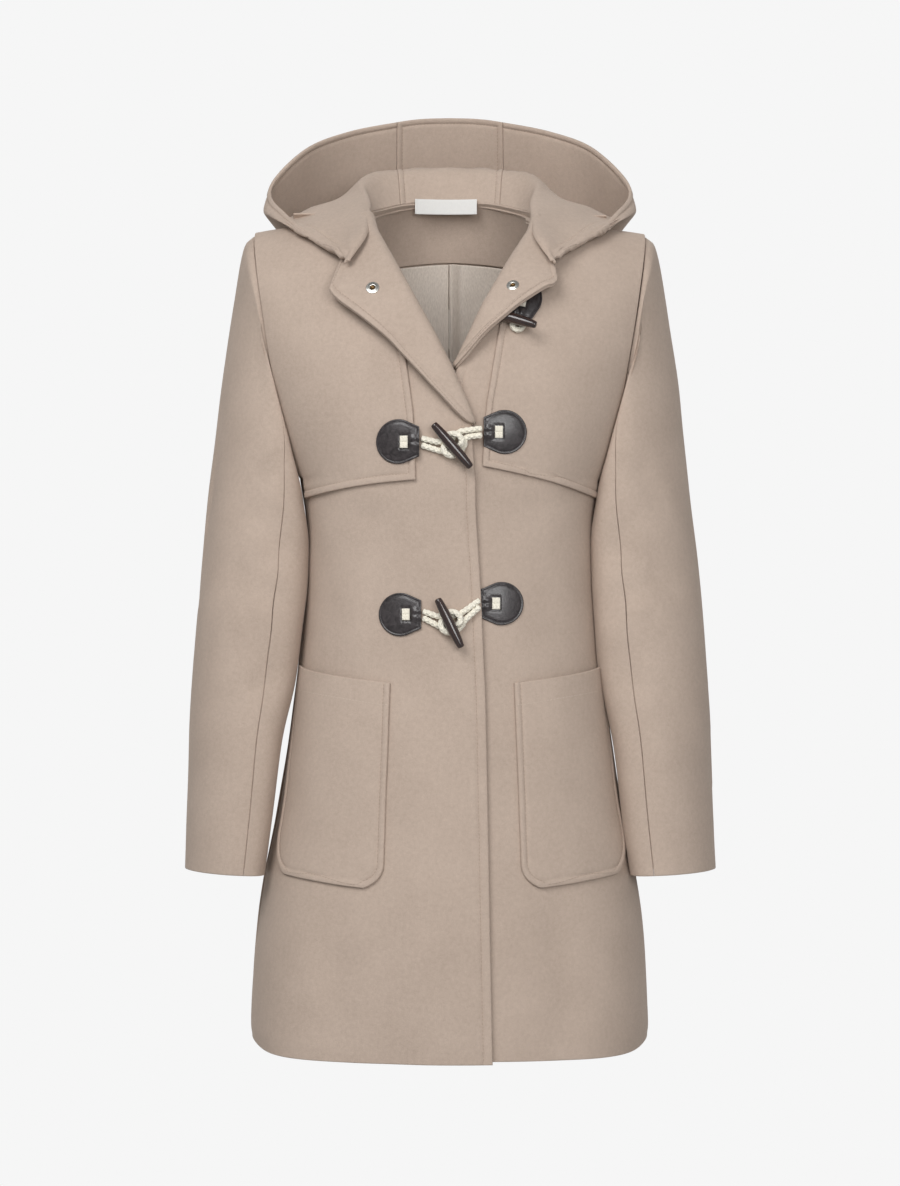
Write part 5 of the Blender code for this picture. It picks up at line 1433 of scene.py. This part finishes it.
# ---------------------------------------------------------------- pockets
# Two large patch pockets hang on the skirt, each one layer of the wool with a deep hem at its
# open mouth and rounded lower corners, its edges turned under and stitched 6 mm in.
POCKET_OUT, POCKET_BULGE, POCKET_STITCH = LAY + WOOL, 0.0055, 0.0062
POCKET_RADII = (0.022, 0.042)            # of its lower corners, inner and outer
CORNER_FULL = 0.94                       # 1 would round a corner right into the foot
PocketRow = namedtuple("PocketRow", "inner_x inner_z outer_turn outer_z")
POCKET_TOP = PocketRow(0.0575, -0.4550, 76.0, -0.4400)
POCKET_LOW = PocketRow(0.0650, -0.6480, 71.0, -0.6390)
POCKET_SHIFT = {"right": -0.0020, "left": 0.0025}
HIP_RADIUS = 0.15            # makes a short way round the hips into a turn
HIP_X = 0.12                 # half width at which a pocket's outer heights are taken
MOUTH_SHARE = 0.625          # share of a pocket over which its open mouth stands off
MOUTH_HEM = 0.0215


def rounded_in(rest, radius):
    """How far a rounded corner draws the side in, this far above its foot."""
    miss = max(radius - rest, 0.0)
    return radius - math.sqrt(max(0.0, radius * radius - CORNER_FULL * miss * miss))


def pocket_rows(which, down=60, across=40):
    """Rows of a pocket, and how far its stitched band runs aslant along each of them."""
    side = SIDES[which]
    rows, stretch = [], []
    for i in range(down + 1):
        share = 1 - (1 - i / down) ** 1.5
        row = PocketRow(*(mix(a, b, share) for a, b in zip(POCKET_TOP, POCKET_LOW)))
        inner_level, outer_level = level_at(row.inner_x, row.inner_z), level_at(HIP_X, row.outer_z)
        inside = turn_at(inner_level, row.inner_x + POCKET_SHIFT[which])
        rest = (1 - share) * (POCKET_TOP.inner_z - POCKET_LOW.inner_z)
        insets = [math.degrees(rounded_in(rest, radius) / HIP_RADIUS) for radius in POCKET_RADII]
        high = max(rest, POCKET_STITCH)
        stretch.append([1 + (rounded_in(high - POCKET_STITCH, radius - POCKET_STITCH)
                             - rounded_in(high, radius)) / POCKET_STITCH
                        for radius in POCKET_RADII])
        line = []
        for c in range(across + 1):
            part = c / across
            bulge = POCKET_BULGE * (1 - ease(share / MOUTH_SHARE)) * math.sin(math.pi * part)
            line.append(body(side, mix(inner_level, outer_level, part),
                             mix(inside + insets[0], row.outer_turn - insets[1], part),
                             POCKET_OUT + bulge))
        rows.append(line)
    return rows, stretch


stitch_lines, hem_lines, pockets = [], [], []
for which, side in SIDES.items():
    rough, stretch = pocket_rows(which)
    sewn_steps = steps(POCKET_STITCH)
    points = fine_grid(rough, left=sewn_steps, right=sewn_steps, bottom=sewn_steps,
                       pitch=0.0045, stretch=np.array(stretch))
    made = cloth_piece(f"pocket_{which}_cloth", points, WOOL, flip=side < 0,
                       stitch=[(edge, POCKET_STITCH) for edge in ("left", "right", "bottom")],
                       rise=risen(points), even=8)
    sewn(made.obj, WOOL_FINISH, f"pocket_{which}")
    pockets.append(made)
    low, wide = len(points) - 1 - STITCHED, points.shape[1] - 1 - STITCHED
    stitch_lines += [stitch_line(made, slice(2, low + 1), col) for col in (STITCHED, wide)]
    stitch_lines.append(stitch_line(made, low, slice(STITCHED, wide + 1)))
    depth = np.linalg.norm(points[:, STITCHED + 1] - points[0, STITCHED + 1], axis=1)
    hem = int(np.argmin(np.abs(depth - MOUTH_HEM)))
    hem_lines.append(stitch_line(made, hem, slice(2, -2)))
thread = stitching("stitching_pockets", stitch_lines, THREAD_FINISH)
HEM_THREAD = napped("pale thread", linear(216, 204, 190), linear(190, 176, 162), 2500, 0.0002,
                    Roughness=0.7)
hem_thread = stitching("stitching_pocket_hems", hem_lines, HEM_THREAD, thread=0.00024)

# ---------------------------------------------------------------- leather patches
# Six round patches of fine-grained black leather, each cut flat towards the opening, are stitched
# down close to their edges. Two strands of cord run under the leather and show in a square window.
LEATHER, PATCH_RADIUS, PATCH_CROWN = 0.0020, 0.0205, 0.0012
PATCH_FLAT, PATCH_FLAT_HALF = 0.0198, 0.0135
PATCH_ARC, PATCH_STITCH = 110, 0.0024
PATCH_ROUND = LEATHER * 0.45             # of its cut edge
STITCH_SINK, STITCH_SINK_WIDE = 0.00055, 0.0008
BAR_LONG, BAR_TALL, BAR_ASIDE = 0.0074, 0.0112, 0.0058
BAR_SINK, BAR_MARGIN = 0.0009, 0.0004    # how the leather dips round the bar
BAR_SINK_STEEP, BAR_UNDER = 30, 0.6      # how fast the dip ends, and its share under the bar
STRAND_RIDGE, STRAND_OFF, STRAND_WIDE = 0.0013, 0.0030, 0.0026   # cords under the leather
STRAND_RISE = 0.004                      # the ridge rises over this length beyond the bar
PatchPlace = namedtuple("PatchPlace", "name side x z lies turn")
PATCHES = [
    PatchPlace("patch_top_right", "right", -0.0737, -0.0893, FLAP_OUT, 0),
    PatchPlace("patch_top_left", "left", 0.0665, -0.0905, FLAP_OUT, 80),
    PatchPlace("patch_mid_right", "right", -0.0478, -0.2270, FLAP_OUT, 0),
    PatchPlace("patch_mid_left", "left", 0.0510, -0.2180, FLAP_OUT - 0.0007, 0),
    PatchPlace("patch_low_right", "right", -0.0463, -0.3905, 0.0, 0),
    PatchPlace("patch_low_left", "left", 0.0487, -0.3800, 0.0, 0),
]
PATCH = {place.name: place for place in PATCHES}


def on_patch(place, towards, up):
    """Where a place on a patch is from the front: towards its flat edge, and up along it."""
    turn = math.radians(place.turn)
    x = towards * math.cos(turn) + up * math.sin(turn)
    z = up * math.cos(turn) - towards * math.sin(turn)
    return Vector((place.x - SIDES[place.side] * x, place.z + z))


def patch_edge(count=72):
    """The patch's outline: round, with a flat edge towards the opening, which is +X here."""
    outline = []
    for i in range(count + 1):
        angle = math.radians(180 + PATCH_ARC * (2 * i / count - 1))
        outline.append(Vector((PATCH_RADIUS * math.cos(angle), PATCH_RADIUS * math.sin(angle))))
    first, last = outline[0], outline[-1]
    upper, lower = Vector((PATCH_FLAT, PATCH_FLAT_HALF)), Vector((PATCH_FLAT, -PATCH_FLAT_HALF))
    return (outline + [mix(last, lower, i / 8) for i in range(1, 9)]
            + [mix(lower, upper, i / 22) for i in range(1, 23)]
            + [mix(upper, first, i / 8) for i in range(1, 8)])


def leather_finish():
    """Black leather: a fine pebbled grain with soft creases, and a clear polish."""
    made, tree, shader = new_material("black leather", Roughness=0.38, Coat_Weight=0.35,
                                      Coat_Roughness=0.22)
    grain = pattern(tree, "TexVoronoi", Scale=1300)
    grain.feature = "SMOOTH_F1"
    creases = pattern(tree, "TexNoise", Scale=170, Detail=6, Distortion=1.2).outputs["Fac"]
    toned(tree, shader, creases, (0.32, linear(34, 29, 30)), (0.72, linear(66, 60, 61)))
    gloss, both = node(tree, "MapRange", To_Min=0.24, To_Max=0.42), node(tree, "Math")
    tree.links.new(creases, gloss.inputs["Value"])
    tree.links.new(gloss.outputs["Result"], shader.inputs["Roughness"])
    tree.links.new(grain.outputs["Distance"], both.inputs[0])
    tree.links.new(creases, both.inputs[1])
    embossed(tree, shader, both.outputs["Value"], 0.5, 0.0003)
    return made


LEATHER_FINISH = leather_finish()
LEATHER_THREAD = napped("black thread", linear(46, 42, 44), linear(30, 27, 28), 2500, 0.0001,
                        Roughness=0.5)
RINGS = [1.0, 0.995, 0.985, 0.97, 0.945, 0.915, 0.895, 0.88, 0.865, 0.84, 0.80, 0.74, 0.67, 0.60,
         0.53, 0.46, 0.39, 0.32, 0.25, 0.18, 0.11, 0.05]
SEWN_RING, SEWN_AT = 6, 0.9  # the ring that the stitches lie on, and where they stand square
UNDER_EDGE = 0.99            # the underside's edge, as a share of the outline


def patch_height(at, inwards):
    """Height of the leather over a flat patch, at a place on it and a distance from its edge."""
    share = at.length / PATCH_RADIUS
    height = PATCH_CROWN * (1 - min(share, 1.0) ** 2)
    tucked = clamp(1 - inwards / PATCH_ROUND) * PATCH_ROUND
    height -= PATCH_ROUND - math.sqrt(PATCH_ROUND ** 2 - tucked ** 2)
    height -= STITCH_SINK * math.exp(-((inwards - PATCH_STITCH) / STITCH_SINK_WIDE) ** 2)
    from_bar = max(abs(at.x - BAR_ASIDE) / (BAR_LONG / 2 + BAR_MARGIN),
                   abs(at.y) / (BAR_TALL / 2 + BAR_MARGIN))
    height -= (BAR_SINK * math.exp(-max(0.0, from_bar - 1.0) ** 2 * BAR_SINK_STEEP)
               * (1 if from_bar > 1 else BAR_UNDER))
    past_bar = at.x - BAR_ASIDE - BAR_LONG / 2
    if past_bar > 0:
        height += (STRAND_RIDGE * clamp(past_bar / STRAND_RISE)
                   * math.exp(-((abs(at.y) - STRAND_OFF) / STRAND_WIDE) ** 2))
    return height


def make_patch(place):
    """The patch as a closed sheet of leather, and its line of stitches."""
    side, outline = SIDES[place.side], patch_edge()
    base = place.lies + LAY
    base += swell(on_body(side, place.x, place.z, base))

    def leather(at, high):
        where = on_patch(place, at.x, at.y)
        return on_body(side, where.x, where.y, base + high)

    middle = Vector((0.0, 0.0))
    corners = []
    for share in RINGS:
        for at in outline:
            inwards = (1 - share) * min(at.length, PATCH_RADIUS)
            corners.append(leather(at * share, LEATHER + patch_height(at * share, inwards)))
    corners.append(leather(middle, LEATHER + patch_height(middle, PATCH_RADIUS)))
    count, top_count = len(outline), len(corners)
    corners += [leather(at * UNDER_EDGE, 0.0) for at in outline] + [leather(middle, 0.0)]
    faces, last = tube(len(RINGS), count), top_count - 1 - count
    for i in range(count):
        j = (i + 1) % count
        faces += [(last + i, last + j, top_count - 1), (i, top_count + i, top_count + j, j),
                  (top_count + j, top_count + i, len(corners) - 1)]
    sewn(placed(place.name + "_leather", corners,
                [face if side < 0 else face[::-1] for face in faces]),
         LEATHER_FINISH, place.name)
    round_ = [i % count for i in range(count + 1)]
    line = [tuple(corners[SEWN_RING * count + i]) for i in round_]
    normals = [tuple((leather(outline[i] * SEWN_AT, 0.01) - leather(outline[i] * SEWN_AT, 0.0))
                     .normalized()) for i in round_]
    return np.array(line), np.array(normals)


stitching("stitching_patches", [make_patch(place) for place in PATCHES], LEATHER_THREAD,
          long=0.0017, gap=0.0009, thread=0.00022)

# ---------------------------------------------------------------- cords
# Each fastening has two loops of cream cotton cord, five millimetres thick and plaited round: one
# is sewn under its patch and holds the toggle, the other slips over the toggle. The square that
# shows in each patch is the same cord, crossing over the leather.
TogglePlace = namedtuple("TogglePlace", "name x z lean top_height low_height long")
TOGGLES = [
    TogglePlace("toggle_top", 0.0583, -0.1150, 67, 0.0092, 0.0240, 0.0450),
    TogglePlace("toggle_mid", 0.0018, -0.2310, 41, 0.0169, 0.0169, 0.0540),
    TogglePlace("toggle_low", -0.0004, -0.3990, 25, 0.0168, 0.0168, 0.0512),
]
NO_TOGGLE = TogglePlace("none", 0, 0, 0, 0, 0, 0)    # the loose loop's points start from here
TOGGLE = {place.name: place for place in TOGGLES + [NO_TOGGLE]}
CORD_RADIUS, CORD_CLEAR, CORD_APART = 0.0026, 0.0016, 0.0031
CordPoint = namedtuple("CordPoint", "along across height")
LOOP_TURN = [
    CordPoint(0.0100, -0.0060, 0.0088), CordPoint(0.0105, 0.0010, 0.0090),
    CordPoint(0.0092, 0.0060, 0.0118), CordPoint(0.0062, 0.0095, 0.0144),
    CordPoint(0.0022, 0.0110, 0.0146), CordPoint(-0.0016, 0.0104, 0.0144),
    CordPoint(-0.0040, 0.0076, 0.0142), CordPoint(-0.0042, 0.0040, 0.0096),
    CordPoint(-0.0034, 0.0000, 0.0089), CordPoint(-0.0010, -0.0050, 0.0088),
    CordPoint(0.0020, -0.0100, 0.0088),
]
TOGGLE_TURN = [
    CordPoint(0.0045, 0.0150, 0.0088), CordPoint(0.0050, 0.0100, 0.0088),
    CordPoint(0.0052, 0.0040, 0.0088), CordPoint(0.0052, -0.0020, 0.0088),
    CordPoint(0.0050, -0.0052, 0.0102), CordPoint(0.0034, -0.0074, 0.0134),
    CordPoint(0.0004, -0.0084, 0.0145), CordPoint(-0.0030, -0.0082, 0.0143),
    CordPoint(-0.0060, -0.0066, 0.0126), CordPoint(-0.0080, -0.0038, 0.0100),
    CordPoint(-0.0088, -0.0005, 0.0089), CordPoint(-0.0086, 0.0040, 0.0088),
    CordPoint(-0.0066, 0.0095, 0.0088), CordPoint(-0.0030, 0.0150, 0.0088),
]
HANG_TURN = [
    CordPoint(-0.0003, 0.0052, 0.0061), CordPoint(-0.0001, 0.0010, 0.0063),
    CordPoint(-0.0017, -0.0036, 0.0066), CordPoint(-0.0054, -0.0052, 0.0068),
    CordPoint(-0.0091, -0.0036, 0.0066), CordPoint(-0.0107, 0.0010, 0.0063),
    CordPoint(-0.0105, 0.0052, 0.0061),
]
LOOSE_LOOP = [
    CordPoint(-0.0905, -0.0490, 0.0088), CordPoint(-0.1000, -0.0440, 0.0084),
    CordPoint(-0.1110, -0.0395, 0.0083), CordPoint(-0.1200, -0.0368, 0.0083),
    CordPoint(-0.1250, -0.0375, 0.0083), CordPoint(-0.1265, -0.0405, 0.0083),
    CordPoint(-0.1225, -0.0432, 0.0083), CordPoint(-0.1120, -0.0460, 0.0083),
    CordPoint(-0.1030, -0.0480, 0.0085), CordPoint(-0.0970, -0.0498, 0.0090),
]
CordPlace = namedtuple("CordPlace", "name toggle patch turns height")
CORDS = [
    CordPlace("cord_loop_mid", "toggle_mid", "patch_mid_right", LOOP_TURN, 0.0088),
    CordPlace("cord_toggle_mid", "toggle_mid", "patch_mid_left", TOGGLE_TURN, 0.0088),
    CordPlace("cord_loop_low", "toggle_low", "patch_low_right", LOOP_TURN, 0.0088),
    CordPlace("cord_toggle_low", "toggle_low", "patch_low_left", TOGGLE_TURN, 0.0088),
    CordPlace("cord_loop_top", "none", "patch_top_right", LOOSE_LOOP, 0.0094),
    CordPlace("cord_toggle_top", "toggle_top", "patch_top_left", HANG_TURN, 0.0062),
]


def route_of(cord, step=0.0006):
    """Even points on a smooth curve from the patch round the toggle and back."""
    toggle = TOGGLE[cord.toggle]
    lean = math.radians(toggle.lean)
    up, over = Vector((-math.sin(lean), math.cos(lean))), Vector((math.cos(lean), math.sin(lean)))
    patch = PATCH[cord.patch]
    flat = on_patch(patch, PATCH_FLAT + CORD_CLEAR, 0.0) - Vector((toggle.x, toggle.z))
    aside = (on_patch(patch, PATCH_FLAT + CORD_CLEAR, CORD_APART)
             - on_patch(patch, PATCH_FLAT + CORD_CLEAR, 0.0))
    if aside.dot(up) < 0:
        aside = -aside
    places = [flat + aside] + [up * p.along + over * p.across for p in cord.turns] + [flat - aside]
    heights = [cord.height] + [p.height for p in cord.turns] + [cord.height]
    spots = [on_body(1.0, toggle.x + place.x, toggle.z + place.y, height)
             for place, height in zip(places, heights)]
    fine = np.array([tuple(smooth(spots, i / 24)) for i in range(24 * (len(spots) - 1) + 1)])
    run = run_along(fine)
    wanted = np.linspace(0, run[-1], int(run[-1] / step) + 1)
    return np.stack([np.interp(wanted, run, fine[:, k]) for k in range(3)], axis=1)


PLAITS, PLAIT_PITCH, PLAIT_DEEP, PLAIT_MEAN = 4, 0.0100, 0.00065, 0.45
CORD_FUZZ, FUZZ_GRAIN = 0.00012, 900
CORD_END = (0.55, 0.86, 0.96)            # its last rings draw in


def plaited(name, route, radius, around=24):
    """A round plaited cord along a route: strands cross each other both ways round it."""
    corners = []
    tangent = (Vector(route[1]) - Vector(route[0])).normalized()
    side = tangent.cross(Vector((0, 1, 0))).normalized()
    run = 0.0
    for i, here in enumerate(route):
        ahead = route[min(i + 1, len(route) - 1)] - route[max(i - 1, 0)]
        tangent = Vector(ahead).normalized()
        side = (side - tangent * side.dot(tangent)).normalized()
        other = tangent.cross(side)
        if i:
            run += float(np.linalg.norm(here - route[i - 1]))
        ends = min(i, len(route) - 1 - i)
        taper = CORD_END[ends] if ends < len(CORD_END) else 1.0
        for k in range(around):
            angle = 2 * math.pi * k / around
            turn = 2 * math.pi * run / PLAIT_PITCH
            one = math.cos(PLAITS * angle + turn * 2)
            two = math.cos(PLAITS * angle - turn * 2)
            high = max(one, two) - PLAIT_MEAN
            size = (radius + PLAIT_DEEP * high) * taper
            size += CORD_FUZZ * noise.noise(Vector(here) * FUZZ_GRAIN + Vector((k, 0, 0)))
            corners.append(Vector(here) + side * (math.cos(angle) * size)
                           + other * (math.sin(angle) * size))
    caps = [tuple(range(around))[::-1], tuple(range(len(corners) - around, len(corners)))]
    return placed(name, corners, tube(len(route), around) + caps)


CORD_FINISH = napped("cotton cord", linear(252, 248, 236), linear(222, 214, 194), 1800, 0.0003,
                     Roughness=0.85, Sheen_Weight=0.2)
for cord in CORDS:
    sewn(plaited(f"{cord.name}_plait", route_of(cord), CORD_RADIUS), CORD_FINISH,
         cord.name)


BAR_RISE, BAR_STRANDS, BAR_PLAIT = 0.0019, 0.00016, 2.6
BAR_LIES, BAR_UNDERSIDE = 0.8, 0.5       # its two faces' heights, as shares of the crown


def bar_height(u, v):
    """Height of the cord over the leather, u along it and v across its two strands, -1 to 1."""
    ends = (1 - min(abs(u), 1.0) ** 7) ** 0.55
    strand = 2 * abs(v) - 1
    across = max(1 - abs(strand) ** 2.6, 0.0) ** 0.5
    wave = math.cos((u * BAR_PLAIT + math.copysign(0.9, v) * abs(strand)) * math.pi)
    return (BAR_RISE * (0.55 + 0.45 * across) + BAR_STRANDS * wave * across) * ends


def make_bar(place, cells=44):
    """The square of cord that shows in a patch: two short strands side by side."""
    side = SIDES[place.side]
    base = place.lies + LAY + LEATHER + LAY
    corners, under, faces = [], [], []
    for row in range(cells + 1):
        for col in range(cells + 1):
            u, v = 2 * col / cells - 1, 2 * row / cells - 1
            spot = on_patch(place, BAR_ASIDE + u * BAR_LONG / 2, v * BAR_TALL / 2)
            edge = 0.0 if max(abs(u), abs(v)) > 0.999 else 1.0
            high = PATCH_CROWN * BAR_LIES + bar_height(u, v) * edge
            corners.append(on_body(side, spot.x, spot.y, base + high))
            under.append(on_body(side, spot.x, spot.y, base + PATCH_CROWN * BAR_UNDERSIDE))
    across, count = cells + 1, len(corners)
    for row in range(cells):
        for col in range(cells):
            a = row * across + col
            faces.append((a, a + 1, a + across + 1, a + across))
            faces.append((count + a + across, count + a + across + 1, count + a + 1, count + a))
    rim = ([(0, c) for c in range(cells)] + [(r, cells) for r in range(cells)]
           + [(cells, c) for c in range(cells, 0, -1)] + [(r, 0) for r in range(cells, 0, -1)])
    rim = [r * across + c for r, c in rim]
    for a, b in zip(rim, rim[1:] + rim[:1]):
        faces.append((b, a, count + a, count + b))
    name = place.name.replace("patch", "cord_bar")
    sewn(placed(name + "_plait", corners + under,
                [face[::-1] if side > 0 else face for face in faces]), CORD_FINISH, name)


for place in PATCHES:
    make_bar(place)

# ---------------------------------------------------------------- toggles
# The three toggles are turned from dark horn: a bar fuller in the middle, with blunt ends whose
# edges are taken off, polished so that the paler growth lines show along it.
TOGGLE_RADIUS, TOGGLE_END = 0.0050, 0.0035
# The tip: each as a share of the end's radius, and a distance in from the end.
TOGGLE_TIP = [(0.0, 0.0), (0.55, 0.0), (0.80, 0.0003), (0.95, 0.0010), (1.02, 0.0022)]
HEIGHTS_AT = 0.48            # share of a toggle's length, from its middle, at which it is seated


def horn_finish():
    """Polished horn: dark brown with paler streaks along the bar, under a clear gloss."""
    made, tree, shader = new_material("polished horn", Roughness=0.22, Coat_Weight=0.7,
                                      Coat_Roughness=0.08)
    streaks = pattern(tree, "TexNoise", (700, 700, 28), Scale=1.0, Detail=5.0,
                      Distortion=0.6).outputs["Fac"]
    toned(tree, shader, streaks, (0.35, linear(24, 16, 16)), (0.80, linear(70, 48, 43)))
    embossed(tree, shader, streaks, 0.15, 0.0002)
    return made


HORN_FINISH = horn_finish()


def turned(name, profile, way, place, around=40):
    """A turned piece from (radius, height) pairs, its ends on the axis, laid along a way."""
    corners = [(0, 0, profile[0][1])]
    for radius, high in profile[1:-1]:
        for k in range(around):
            angle = 2 * math.pi * k / around
            corners.append((radius * math.cos(angle), radius * math.sin(angle), high))
    corners.append((0, 0, profile[-1][1]))
    faces, last = tube(len(profile) - 2, around, 1), len(corners) - 1
    for k in range(around):
        j = (k + 1) % around
        faces += [(0, 1 + j, 1 + k), (last - around + k, last - around + j, last)]
    obj = placed(name, corners, faces)
    obj.rotation_mode = "QUATERNION"
    obj.rotation_quaternion = Vector((0, 0, 1)).rotation_difference(way)
    obj.location = place
    return obj


def toggle_profile(long):
    half = long / 2
    profile = [(TOGGLE_END * wide, inset - half) for wide, inset in TOGGLE_TIP]
    wide, inset = TOGGLE_TIP[-1]
    for i in range(1, 20):
        share = i / 10 - 1
        profile.append((mix(TOGGLE_RADIUS, TOGGLE_END * wide, share ** 2),
                        share * (half - inset)))
    return profile + [(radius, -high) for radius, high in profile[len(TOGGLE_TIP) - 1::-1]]


for place in TOGGLES:
    lean = math.radians(place.lean)
    reach = Vector((-math.sin(lean), math.cos(lean))) * place.long * HEIGHTS_AT
    top = on_body(1.0, place.x + reach.x, place.z + reach.y, place.top_height)
    low = on_body(1.0, place.x - reach.x, place.z - reach.y, place.low_height)
    bar = turned(f"{place.name}_horn", toggle_profile(place.long), (top - low).normalized(),
                 (top + low) / 2)
    sewn(bar, HORN_FINISH, place.name)

# ---------------------------------------------------------------- press studs
# A press stud's socket is sewn on each lapel near its corner: a pressed white metal dish with a
# raised rim and a sprung hole in the middle.
SnapPlace = namedtuple("SnapPlace", "side radius")
SNAPS = [SnapPlace("right", 0.0064), SnapPlace("left", 0.0060)]
SNAP_THICK, SNAP_SUNK = 0.0013, 0.1      # and the share of it that is pressed into the wool
SNAP_PROFILE = [(0.0, 0.0), (0.97, 0.0), (1.0, 0.12), (1.0, 0.50), (0.97, 0.66), (0.90, 0.72),
                (0.62, 0.74), (0.58, 0.95), (0.52, 1.0), (0.44, 0.95), (0.40, 0.55),
                (0.38, 0.15), (0.0, 0.12)]       # shares of its radius and of its thickness
WELL = (0.41, 0.1)                               # the hole, whose faces take the darker brass with painted shade, is inside and above these shares


def metal_finish():
    made, tree, shader = new_material("press stud metal", Metallic=1.0, Roughness=0.28)
    rubbed = pattern(tree, "TexNoise", Scale=900, Detail=4).outputs["Fac"]
    toned(tree, shader, rubbed, (0.0, linear(214, 212, 204)), (1.0, linear(246, 245, 240)))
    return made


METAL_FINISH = metal_finish()
# The hole's faces are a darker brass: partly the spring's own brass, partly painted shade inside
# the hole.
HOLE_BRASS_AND_SHADE = new_material("press stud well", Metallic=1.0, Roughness=0.45,
                           Base_Color=linear(112, 88, 58))[0]
for place in SNAPS:
    low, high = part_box(f"snap_{place.side}")
    grid, made = facings[place.side]
    flat = made.back[:, :grid.lapel_cols - FOLD_COLS].reshape(-1, 3)
    facing_out = -made.normals[:, :grid.lapel_cols - FOLD_COLS].reshape(-1, 3)
    centre = (low + high) / 2
    nearest = int(np.argmin(np.linalg.norm(flat - np.array(centre), axis=1)))
    out = Vector(facing_out[nearest]).normalized()
    if out.y > 0:
        out = -out
    miss = (Vector(flat[nearest]) - centre).dot(out)
    stud = turned(f"snap_{place.side}_socket",
                  [(place.radius * wide, SNAP_THICK * high) for wide, high in SNAP_PROFILE],
                  out, centre + out * (miss - SNAP_THICK * SNAP_SUNK))
    sewn(stud, METAL_FINISH, f"snap_{place.side}")
    # Faces down in the hole take the second, darker brass, which is partly painted shade.
    stud.data.materials.append(HOLE_BRASS_AND_SHADE)
    for face in stud.data.polygons:
        across = math.hypot(face.center.x, face.center.y)
        if across < place.radius * WELL[0] and face.center.z > SNAP_THICK * WELL[1]:
            face.material_index = 1

# ---------------------------------------------------------------- studio
# A pale floor curves up all round into a pale wall. A large soft light stands to the upper left
# of the camera, a weaker one to its right and one behind the coat, in a room of even light.
FLOOR_Z, WALL_AWAY, WALL_TOP, CURVE = -1.25, 6.0, 6.0, 2.0
STUDIO_GLOW = 0.36           # what the paint gives to the coat, against its look in the picture


def studio_floor():
    profile = [(0.001, FLOOR_Z), (WALL_AWAY - CURVE, FLOOR_Z)]
    for i in range(1, 17):
        angle = math.pi / 2 * i / 16
        profile.append((WALL_AWAY - CURVE + CURVE * math.sin(angle),
                        FLOOR_Z + CURVE - CURVE * math.cos(angle)))
    profile.append((WALL_AWAY, WALL_TOP))
    around = 64
    corners = [(r * math.cos(2 * math.pi * k / around), r * math.sin(2 * math.pi * k / around), z)
               for r, z in profile for k in range(around)]
    obj = placed("studio_floor", corners, tube(len(profile), around))
    paint, tree, shader = new_material("pale studio paint", Base_Color=(0.0, 0.0, 0.0, 1.0),
                                       Roughness=1.0, Specular_IOR_Level=0.0,
                                       Emission_Strength=1.0)
    ray, tone = node(tree, "LightPath"), node(tree, "Mix")
    tone.data_type = "RGBA"
    tone.inputs["A"].default_value = (STUDIO_GLOW, STUDIO_GLOW, STUDIO_GLOW, 1.0)
    tone.inputs["B"].default_value = linear(246, 246, 246)
    tree.links.new(ray.outputs["Is Camera Ray"], tone.inputs["Factor"])
    tree.links.new(tone.outputs["Result"], shader.inputs["Emission Color"])
    obj.data.materials.append(paint)


studio_floor()
AIM = Vector((0, 0, -0.35))              # every light points at the middle of the coat
StudioLight = namedtuple("StudioLight", "name place size power")
LIGHTS = [
    StudioLight("key_light", (-1.2, -2.7, 1.6), 1.8, 64),
    StudioLight("fill_light", (0.9, -3.2, 0.3), 1.4, 38),
    StudioLight("back_light", (0.0, 2.6, 1.8), 2.5, 40),
]
for light in LIGHTS:
    lamp = bpy.data.objects.new(light.name, bpy.data.lights.new(light.name, "AREA"))
    lamp.data.size = light.size
    lamp.data.energy = light.power
    lamp.location = light.place
    lamp.rotation_euler = (AIM - lamp.location).to_track_quat("-Z", "Y").to_euler()
    bpy.context.scene.collection.objects.link(lamp)
world = bpy.data.worlds.new("studio_air")
world.use_nodes = True
world.node_tree.nodes["Background"].inputs["Color"].default_value = (1.0, 1.0, 1.0, 1.0)
world.node_tree.nodes["Background"].inputs["Strength"].default_value = 0.20
bpy.context.scene.world = world
bpy.context.scene.view_settings.view_transform = "Standard"
